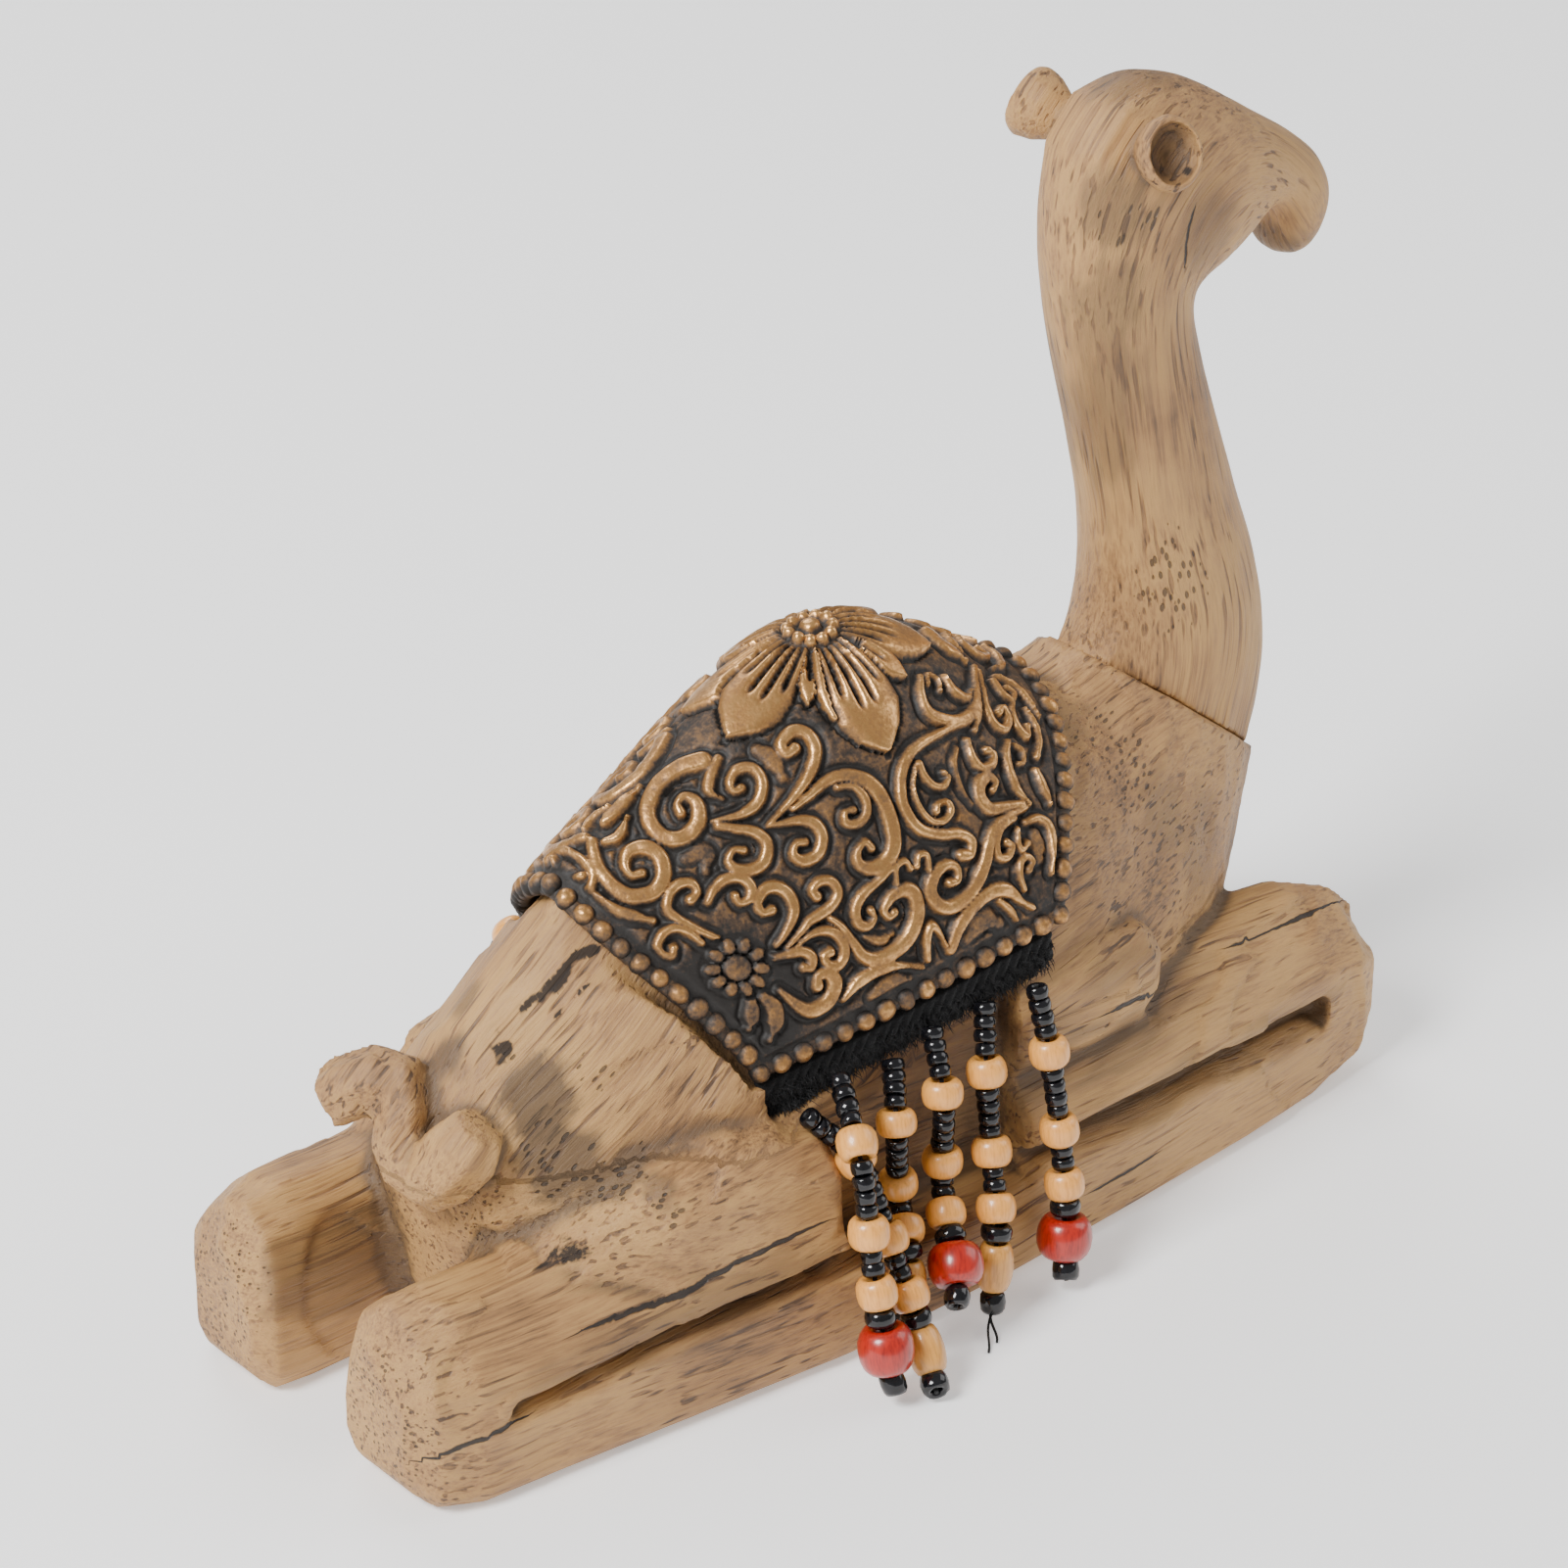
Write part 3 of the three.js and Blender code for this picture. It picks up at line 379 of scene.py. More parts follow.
def add_ramp(node: bpy.types.Node, stops: Sequence[tuple[float, str]]) -> Socket:
    """Sets a colour ramp's stops.

    Args:
        node: the ramp node.
        stops: place and sRGB hex colour of each stop.

    Returns:
        The ramp's colour output.
    """
    elements = node.color_ramp.elements
    while len(elements) < len(stops):
        elements.new(0.5)
    for element, (place, colour) in zip(elements, stops):
        element.position = place
        element.color = linear(colour)
    return node.outputs["Color"]


def empty_material(name: str) -> tuple[Material, Tree]:
    """A new material with an empty node tree."""
    material = bpy.data.materials.new(name)
    material.use_nodes = True
    material.node_tree.nodes.clear()
    return material, material.node_tree


def close_material(tree: Tree, shader: bpy.types.Node) -> None:
    """Joins the shader to the material's output."""
    add_node(tree, "ShaderNodeOutputMaterial", {"Surface": shader.outputs[0]})


@dataclass(frozen=True)
class DriftwoodResin:
    """Cast resin painted as driftwood worn by weathering: matt, with fine grain lines, pits of a small
    gouge, drying cracks, darker burnt patches, patches of weathering, and painted shade in the hollows."""

    light: str = "be935a"
    middle: str = "997147"
    dark: str = "543e2c"
    # Grey-brown of the weathering patches and of the painted shade in the hollows.
    weathered_and_shaded: str = "47382b"
    burnt: str = "211b18"
    # Waves per millimetre along and across the grain.
    fine_grain: tuple[float, float] = (0.04, 1.7)
    broad_grain: tuple[float, float] = (0.03, 0.5)
    pit_spacing: float = 1.25

    def build(self) -> Material:
        """Material that reads the marks of a carved piece."""
        material, tree = empty_material("painted driftwood resin")
        grain = add_node(tree, "ShaderNodeAttribute", attribute_name="grain").outputs["Vector"]
        fine = self.streaks(tree, grain, self.fine_grain, 5.0)
        broad = self.streaks(tree, grain, self.broad_grain, 3.0)
        place = add_node(tree, "ShaderNodeTexCoord").outputs["Object"]
        # Patches of about 18 mm.
        patches = add_node(
            tree,
            "ShaderNodeTexNoise",
            {"Vector": place, "Scale": 1 / (18 * MM), "Detail": 4.0, "Roughness": 0.6},
        ).outputs["Fac"]
        lines = self.incised(tree, grain, patches)
        large = add_node(
            tree,
            "ShaderNodeTexNoise",
            {"Vector": place, "Scale": 1 / (45 * MM), "Detail": 2.0, "Roughness": 0.5},
        ).outputs["Fac"]
        tone = self.mixed(
            tree, [(fine, 0.75), (broad, 0.32), (patches, 0.55), (large, 0.75), (lines, -0.28)], -0.66
        )
        colour = add_ramp(
            add_node(tree, "ShaderNodeValToRGB", {"Fac": tone}),
            [(0.22, self.dark), (0.42, self.middle), (0.64, self.light)],
        )
        # Painted shade: grey-brown laid over the broad hollows of a piece, together with its patches of
        # weathering.
        shade_and_weather = add_node(tree, "ShaderNodeAttribute", attribute_name="shade_and_weather").outputs["Fac"]
        shade_and_weather_share = self.mixed(tree, [(shade_and_weather, 1.15), (fine, 1.3), (patches, 0.7)], -0.99)
        colour = self.over(tree, shade_and_weather_share, colour, self.weathered_and_shaded, 0.8)
        burn = add_node(tree, "ShaderNodeAttribute", attribute_name="burn").outputs["Fac"]
        burn_share = self.mixed(tree, [(burn, 3.4), (fine, 3.2), (broad, 2.2)], -4.1)
        colour = self.over(tree, burn_share, colour, self.burnt, 0.95)
        pits = self.pits(tree, grain)
        colour = self.over(tree, pits, colour, self.burnt, 0.72)
        crack = self.crack(tree, grain)
        colour = self.over(tree, crack, colour, self.burnt, 0.97)
        height = self.mixed(
            tree, [(fine, 0.42), (broad, 0.25), (lines, -0.3), (pits, -0.6), (crack, -0.9)], 0.0
        )
        bump = add_node(tree, "ShaderNodeBump", {"Height": height, "Strength": 0.75, "Distance": 0.9 * MM})
        rough = self.mixed(tree, [(fine, 0.18), (burn_share, 0.1)], 0.6)
        shader = add_node(
            tree,
            "ShaderNodeBsdfPrincipled",
            {"Base Color": colour, "Roughness": rough, "Normal": bump.outputs["Normal"], "IOR": 1.48},
        )
        close_material(tree, shader)
        return material

    def streaks(
        self, tree: Tree, grain: Socket, waves: tuple[float, float], detail: float
    ) -> Socket:
        """Noise drawn out along the grain.

        Args:
            tree: node tree of the material.
            grain: place along and across the grain, in millimetres.
            waves: waves per millimetre along and across.
            detail: octaves of the noise.

        Returns:
            The noise's value.
        """
        stretched = add_node(
            tree,
            "ShaderNodeVectorMath",
            {0: grain, 1: (waves[0], waves[1], waves[1])},
            operation="MULTIPLY",
        )
        return add_node(
            tree,
            "ShaderNodeTexNoise",
            {"Vector": stretched.outputs[0], "Scale": 1.0, "Detail": detail, "Roughness": 0.62},
        ).outputs["Fac"]

    def incised(
        self, tree: Tree, grain: Socket, patches: Socket
    ) -> Socket:
        """Thin lines cut along the grain, about 1 mm apart, stronger in patches.

        Args:
            tree: node tree of the material.
            grain: place along and across the grain, in millimetres.
            patches: noise that says where the lines are strong.

        Returns:
            1 in a line, 0 beside it.
        """
        waves = self.streaks(tree, grain, (0.03, 0.95), 1.0)
        sharp = add_node(
            tree, "ShaderNodeMapRange", {"Value": waves, "From Min": 0.42, "From Max": 0.35}
        ).outputs["Result"]
        where = add_node(
            tree,
            "ShaderNodeMapRange",
            {"Value": patches, "From Min": 0.38, "From Max": 0.6, "To Min": 0.2},
        ).outputs["Result"]
        return add_node(tree, "ShaderNodeMath", {0: sharp, 1: where}, operation="MULTIPLY").outputs[0]

    def pits(self, tree: Tree, grain: Socket) -> Socket:
        """Small dashes of a gouge where a piece is marked as pitted."""
        stretched = add_node(
            tree,
            "ShaderNodeVectorMath",
            {0: grain, 1: (0.4 / self.pit_spacing, 1 / self.pit_spacing, 1 / self.pit_spacing)},
            operation="MULTIPLY",
        )
        cells = add_node(
            tree,
            "ShaderNodeTexVoronoi",
            {"Vector": stretched.outputs[0], "Scale": 1.0, "Randomness": 0.9},
        ).outputs["Distance"]
        pitted = add_node(tree, "ShaderNodeAttribute", attribute_name="pitted").outputs["Fac"]
        reach = add_node(tree, "ShaderNodeMath", {0: pitted, 1: 0.35}, operation="MULTIPLY").outputs[0]
        depth = add_node(tree, "ShaderNodeMath", {0: reach, 1: cells}, operation="SUBTRACT").outputs[0]
        return add_node(
            tree, "ShaderNodeMapRange", {"Value": depth, "From Min": 0.0, "From Max": 0.09}
        ).outputs["Result"]

    def crack(self, tree: Tree, grain: Socket) -> Socket:
        """Drying cracks along the marked lines, ragged and thinning out at their ends; the wider a
        crack, the more torn its outline."""
        line = add_node(tree, "ShaderNodeAttribute", attribute_name="crack").outputs["Fac"]
        width = add_node(tree, "ShaderNodeAttribute", attribute_name="crack_width").outputs["Fac"]
        ragged = add_node(
            tree, "ShaderNodeTexNoise", {"Vector": grain, "Scale": 0.45, "Detail": 4.0}
        ).outputs["Fac"]
        tear = add_node(
            tree, "ShaderNodeMath", {0: width, 1: 0.7, 2: 0.4}, operation="MULTIPLY_ADD"
        ).outputs[0]
        centred = add_node(tree, "ShaderNodeMath", {0: ragged, 1: 0.5}, operation="SUBTRACT").outputs[0]
        moved = add_node(
            tree, "ShaderNodeMath", {0: centred, 1: tear, 2: line}, operation="MULTIPLY_ADD"
        ).outputs[0]
        apart = add_node(tree, "ShaderNodeMath", {0: moved}, operation="ABSOLUTE").outputs[0]
        inside = add_node(tree, "ShaderNodeMath", {0: width, 1: apart}, operation="SUBTRACT").outputs[0]
        return add_node(
            tree, "ShaderNodeMapRange", {"Value": inside, "From Min": 0.0, "From Max": 0.22}
        ).outputs["Result"]

    def mixed(
        self, tree: Tree, parts: Sequence[tuple[Socket, float]], start: float
    ) -> Socket:
        """Weighted sum of values.

        Args:
            tree: node tree of the material.
            parts: value and weight of each part.
            start: what the sum starts from.

        Returns:
            The sum.
        """
        total: Any = start
        for value, weight in parts:
            total = add_node(
                tree, "ShaderNodeMath", {0: value, 1: weight, 2: total}, operation="MULTIPLY_ADD"
            ).outputs[0]
        return total

    def over(
        self, tree: Tree, share: Socket, below: Socket, above: str, most: float
    ) -> Socket:
        """Lays a colour over another by a share of up to most."""
        held = add_node(
            tree, "ShaderNodeMapRange", {"Value": share, "From Min": 0.0, "From Max": 1.0, "To Max": most}
        ).outputs["Result"]
        mix = add_node(tree, "ShaderNodeMix", data_type="RGBA")
        tree.links.new(held, mix.inputs[0])
        tree.links.new(below, mix.inputs[6])
        mix.inputs[7].default_value = linear(above)
        return mix.outputs[2]


@dataclass(frozen=True)
class AgedBronzePaint:
    """Resin painted brown-black and rubbed with bronze: the raised parts are satin and warm, the
    recesses matt and dark."""

    recess: str = "17120e"
    ground: str = "3d2c1d"
    rubbed: str = "6e5030"
    gold: str = "a07443"
    edge: str = "d6a468"

    def build(self) -> Material:
        """Material that reads the relief's height and hollowness."""
        material, tree = empty_material("rubbed bronze paint")
        place = add_node(tree, "ShaderNodeTexCoord").outputs["Object"]
        height = add_node(tree, "ShaderNodeAttribute", attribute_name="relief").outputs["Fac"]
        # Wear in patches of 6 mm and specks of 0.7 mm.
        patches = add_node(
            tree,
            "ShaderNodeTexNoise",
            {"Vector": place, "Scale": 1 / (6 * MM), "Detail": 5.0, "Roughness": 0.65},
        ).outputs["Fac"]
        specks = add_node(
            tree, "ShaderNodeTexNoise", {"Vector": place, "Scale": 1 / (0.7 * MM), "Detail": 3.0}
        ).outputs["Fac"]
        worn: Any = -0.68
        for value, weight in ((height, 0.46), (patches, 1.15), (specks, 0.6)):
            worn = add_node(
                tree, "ShaderNodeMath", {0: value, 1: weight, 2: worn}, operation="MULTIPLY_ADD"
            ).outputs[0]
        colour = add_ramp(
            add_node(tree, "ShaderNodeValToRGB", {"Fac": worn}),
            [
                (0.05, self.recess), (0.24, self.ground), (0.44, self.rubbed), (0.64, self.gold),
                (0.9, self.edge),
            ],
        )
        metal = add_node(
            tree, "ShaderNodeMapRange", {"Value": worn, "From Min": 0.3, "From Max": 0.75, "To Max": 0.85}
        ).outputs["Result"]
        rough = add_node(
            tree,
            "ShaderNodeMapRange",
            {"Value": worn, "From Min": 0.3, "From Max": 0.9, "To Min": 0.62, "To Max": 0.3},
        ).outputs["Result"]
        bump = add_node(tree, "ShaderNodeBump", {"Height": specks, "Strength": 0.35, "Distance": 0.25 * MM})
        shader = add_node(
            tree,
            "ShaderNodeBsdfPrincipled",
            {"Base Color": colour, "Metallic": metal, "Roughness": rough, "Normal": bump.outputs["Normal"]},
        )
        close_material(tree, shader)
        return material


@dataclass(frozen=True)
class TurnedWood:
    """Small turned wooden bead, polished and lacquered, with faint grain along its bore."""

    name: str
    light: str
    dark: str
    roughness: float
    coat: float

    def build(self) -> Material:
        """Material that reads each bead's own grain."""
        material, tree = empty_material(self.name)
        grain = add_node(tree, "ShaderNodeAttribute", attribute_name="grain").outputs["Vector"]
        # Grain lines about 0.5 mm apart, drawn out along the bore.
        stretched = add_node(
            tree, "ShaderNodeVectorMath", {0: grain, 1: (2.2, 2.2, 0.25)}, operation="MULTIPLY"
        )
        lines = add_node(
            tree, "ShaderNodeTexNoise", {"Vector": stretched.outputs[0], "Scale": 1.0, "Detail": 4.0}
        ).outputs["Fac"]
        colour = add_ramp(
            add_node(tree, "ShaderNodeValToRGB", {"Fac": lines}), [(0.22, self.dark), (0.56, self.light)]
        )
        bump = add_node(tree, "ShaderNodeBump", {"Height": lines, "Strength": 0.15, "Distance": 0.08 * MM})
        shader = add_node(
            tree,
            "ShaderNodeBsdfPrincipled",
            {
                "Base Color": colour,
                "Roughness": self.roughness,
                "Coat Weight": self.coat,
                "Coat Roughness": 0.15,
                "Normal": bump.outputs["Normal"],
                "IOR": 1.5,
            },
        )
        close_material(tree, shader)
        return material


@dataclass(frozen=True)
class BlackGlass:
    """Opaque black glass of pressed seed beads: deep, glossy and slightly uneven."""

    colour: str = "08080a"
    # Lighter black of the painted sheen.
    painted_sheen: str = "1a1a1e"

    def build(self) -> Material:
        """Glossy black with slow waves in the surface, and a painted sheen that lightens the black along
        the waves.
        """
        material, tree = empty_material("pressed black glass")
        place = add_node(tree, "ShaderNodeTexCoord").outputs["Object"]
        # Waves of 1.6 mm left by pressing.
        waves = add_node(
            tree, "ShaderNodeTexNoise", {"Vector": place, "Scale": 1 / (1.6 * MM), "Detail": 2.0}
        ).outputs["Fac"]
        # Painted sheen: lighter where the waves rise.
        colour_with_sheen = add_ramp(
            add_node(tree, "ShaderNodeValToRGB", {"Fac": waves}), [(0.3, self.colour), (0.8, self.painted_sheen)]
        )
        bump = add_node(tree, "ShaderNodeBump", {"Height": waves, "Strength": 0.25, "Distance": 0.3 * MM})
        shader = add_node(
            tree,
            "ShaderNodeBsdfPrincipled",
            {"Base Color": colour_with_sheen, "Roughness": 0.12, "IOR": 1.52, "Normal": bump.outputs["Normal"]},
        )
        close_material(tree, shader)
        return material


@dataclass(frozen=True)
class ChenilleBraid:
    """Black chenille braid: soft, fuzzy yarn that swallows most light."""

    colour: str = "060607"
    bloom: str = "131315"

    def build(self) -> Material:
        """Matt black yarn with a soft bloom of fibres."""
        material, tree = empty_material("black chenille yarn")
        place = add_node(tree, "ShaderNodeTexCoord").outputs["Object"]
        # Fibres of about 0.5 mm, coarser than the real yarn's so that they show.
        fibres = add_node(
            tree,
            "ShaderNodeTexNoise",
            {"Vector": place, "Scale": 1 / (0.5 * MM), "Detail": 4.0, "Roughness": 0.7},
        ).outputs["Fac"]
        colour = add_ramp(
            add_node(tree, "ShaderNodeValToRGB", {"Fac": fibres}), [(0.4, self.colour), (0.75, self.bloom)]
        )
        bump = add_node(tree, "ShaderNodeBump", {"Height": fibres, "Strength": 1.0, "Distance": 0.5 * MM})
        shader = add_node(
            tree,
            "ShaderNodeBsdfPrincipled",
            {
                "Base Color": colour,
                "Roughness": 0.95,
                "Sheen Weight": 0.08,
                "Sheen Roughness": 0.5,
                "Normal": bump.outputs["Normal"],
            },
        )
        close_material(tree, shader)
        return material


# Blanket surface


@dataclass(frozen=True)
class Arch:
    """One arch of the blanket: crown and foot with its half width and squareness."""

    crown_x: float
    foot_x: float
    foot_z: float
    half_width: float
    power: float


@dataclass
class BlanketSurface:
    """Outer face of the blanket: u from the rear rim to the front rim, v from the right foot over
    the crown (0) to the left foot in equal steps of arc length."""

    rear: Arch = Arch(-61.5, -40.0, 56.0, 31.5, 1.37)
    front: Arch = Arch(48.0, 24.0, 68.5, 41.0, 1.8)
    crown: tuple[tuple[float, float], ...] = (
        (0.0, 88.5), (0.2, 100.5), (0.4, 112.5), (0.58, 118.8), (0.75, 113.0), (0.9, 103.2), (1.0, 97.6),
    )
    flank_swell: float = 1.0
    samples: int = 120

    def crown_z(self, u: np.ndarray) -> np.ndarray:
        """Height of the crown line at u, by cubic interpolation."""
        keys = np.array([k for k, _ in self.crown])
        values = np.array([z for _, z in self.crown])
        at = np.clip(u, 0.0, 1.0)
        i = np.clip(np.searchsorted(keys, at, side="right") - 1, 0, len(keys) - 2)
        before, after = np.maximum(i - 1, 0), np.minimum(i + 2, len(keys) - 1)
        span = keys[i + 1] - keys[i]
        t = (at - keys[i]) / span
        m0 = (values[i + 1] - values[before]) / (keys[i + 1] - keys[before]) * span
        m1 = (values[after] - values[i]) / (keys[after] - keys[i]) * span
        t2, t3 = t * t, t * t * t
        return (
            (2 * t3 - 3 * t2 + 1) * values[i] + (t3 - 2 * t2 + t) * m0
            + (3 * t2 - 2 * t3) * values[i + 1] + (t3 - t2) * m1
        )

    def points(self, u: np.ndarray, v: np.ndarray) -> np.ndarray:
        """Places on the surface in millimetres.

        Args:
            u: shares from rear to front.
            v: shares from the right foot to the left foot, of the same shape.

        Returns:
            Points with one more axis of length 3.
        """
        shape = np.shape(u)
        u, v = np.ravel(u).astype(float), np.ravel(v).astype(float)
        keys, row = np.unique(u, return_inverse=True)
        angle = np.linspace(0, math.pi / 2, self.samples + 1)
        made = np.empty((len(u), 3))
        order = np.argsort(row, kind="stable")
        edges = np.searchsorted(row[order], np.arange(len(keys) + 1))
        crowns = self.crown_z(keys)
        for k, key in enumerate(keys):
            at = order[edges[k] : edges[k + 1]]
            half = lerp(self.rear.half_width, self.front.half_width, key)
            half += self.flank_swell * math.sin(math.pi * key)
            power = 2 / lerp(self.rear.power, self.front.power, key)
            side = np.sin(angle) ** power
            foot_z = lerp(self.rear.foot_z, self.front.foot_z, key)
            crown_x = lerp(self.rear.crown_x, self.front.crown_x, key)
            foot_x = lerp(self.rear.foot_x, self.front.foot_x, key)
            x = lerp(crown_x, foot_x, side**2)
            y = side * half
            z = foot_z + np.maximum(np.cos(angle), 0) ** power * (crowns[k] - foot_z)
            steps = np.sqrt(np.diff(x) ** 2 + np.diff(y) ** 2 + np.diff(z) ** 2)
            travelled = np.concatenate([[0], np.cumsum(steps)])
            reach = np.abs(v[at]) * travelled[-1]
            made[at, 0] = np.interp(reach, travelled, x)
            made[at, 1] = np.interp(reach, travelled, y) * np.sign(v[at])
            made[at, 2] = np.interp(reach, travelled, z)
        made[:, 0] += SHIFT_X
        return made.reshape(*shape, 3)

    def normals(self, u: np.ndarray, v: np.ndarray, step: float = 0.01) -> np.ndarray:
        """Outward unit normals at the given shares."""
        along = self.points(u + step, v) - self.points(u - step, v)
        across = self.points(u, v + step) - self.points(u, v - step)
        made = np.cross(along, across)
        return made / np.linalg.norm(made, axis=-1, keepdims=True)

    def raised(self, u: np.ndarray, v: np.ndarray, height: float) -> np.ndarray:
        """Places at a height over the surface, in millimetres."""
        return self.points(u, v) + self.normals(u, v) * height

    def stretch(self, u: float, v: float) -> tuple[float, float]:
        """Millimetres per unit of u and of v around a place."""
        step = 0.02
        us = np.array([u + step, u - step, u, u])
        vs = np.array([v, v, v + step, v - step])
        a, b, c, d = self.points(us, vs)
        return float(np.linalg.norm(a - b) / (2 * step)), float(np.linalg.norm(c - d) / (2 * step))


def curve_through(knots: np.ndarray, count: int) -> np.ndarray:
    """Points along a smooth line through knots.

    Args:
        knots: m by k places.
        count: number of points to give.

    Returns:
        count by k places.
    """
    if len(knots) < 3:
        t = np.linspace(0, 1, count)[:, None]
        return lerp(knots[0], knots[-1], t)
    padded = np.vstack([2 * knots[0] - knots[1], knots, 2 * knots[-1] - knots[-2]])
    at = np.linspace(0, len(knots) - 1, count)
    i = np.minimum(at.astype(int), len(knots) - 2)
    t = (at - i)[:, None]
    p0, p1, p2, p3 = padded[i], padded[i + 1], padded[i + 2], padded[i + 3]
    square, cube = 2 * p0 - 5 * p1 + 4 * p2 - p3, 3 * p1 - p0 - 3 * p2 + p3
    return 0.5 * (2 * p1 + (p2 - p0) * t + square * t**2 + cube * t**3)


@dataclass(frozen=True)
class Vine:
    """One raised band of the scrollwork, from its tip to the eye that it winds into.

    Its spots are in hundredths: from the rear rim to the front rim, and from the crown down to the
    foot. Its half widths are in millimetres."""

    spots: tuple[tuple[float, float], ...]
    tip: float
    body: float
    eye: float
    rise: float = 1.0

    def line(self) -> np.ndarray:
        """Centre line and half width: rows of u, v and millimetres."""
        line = curve_through(np.array(self.spots, dtype=float) / 100, 14 * len(self.spots))
        share = np.linspace(0, 1, len(line))
        keys = [0, 0.3, 0.66, 0.9, 1]
        widths = [self.tip, self.body, self.body, self.eye * 0.8, self.eye]
        return np.column_stack([line * np.array([1, -1]), np.interp(share, keys, widths)])


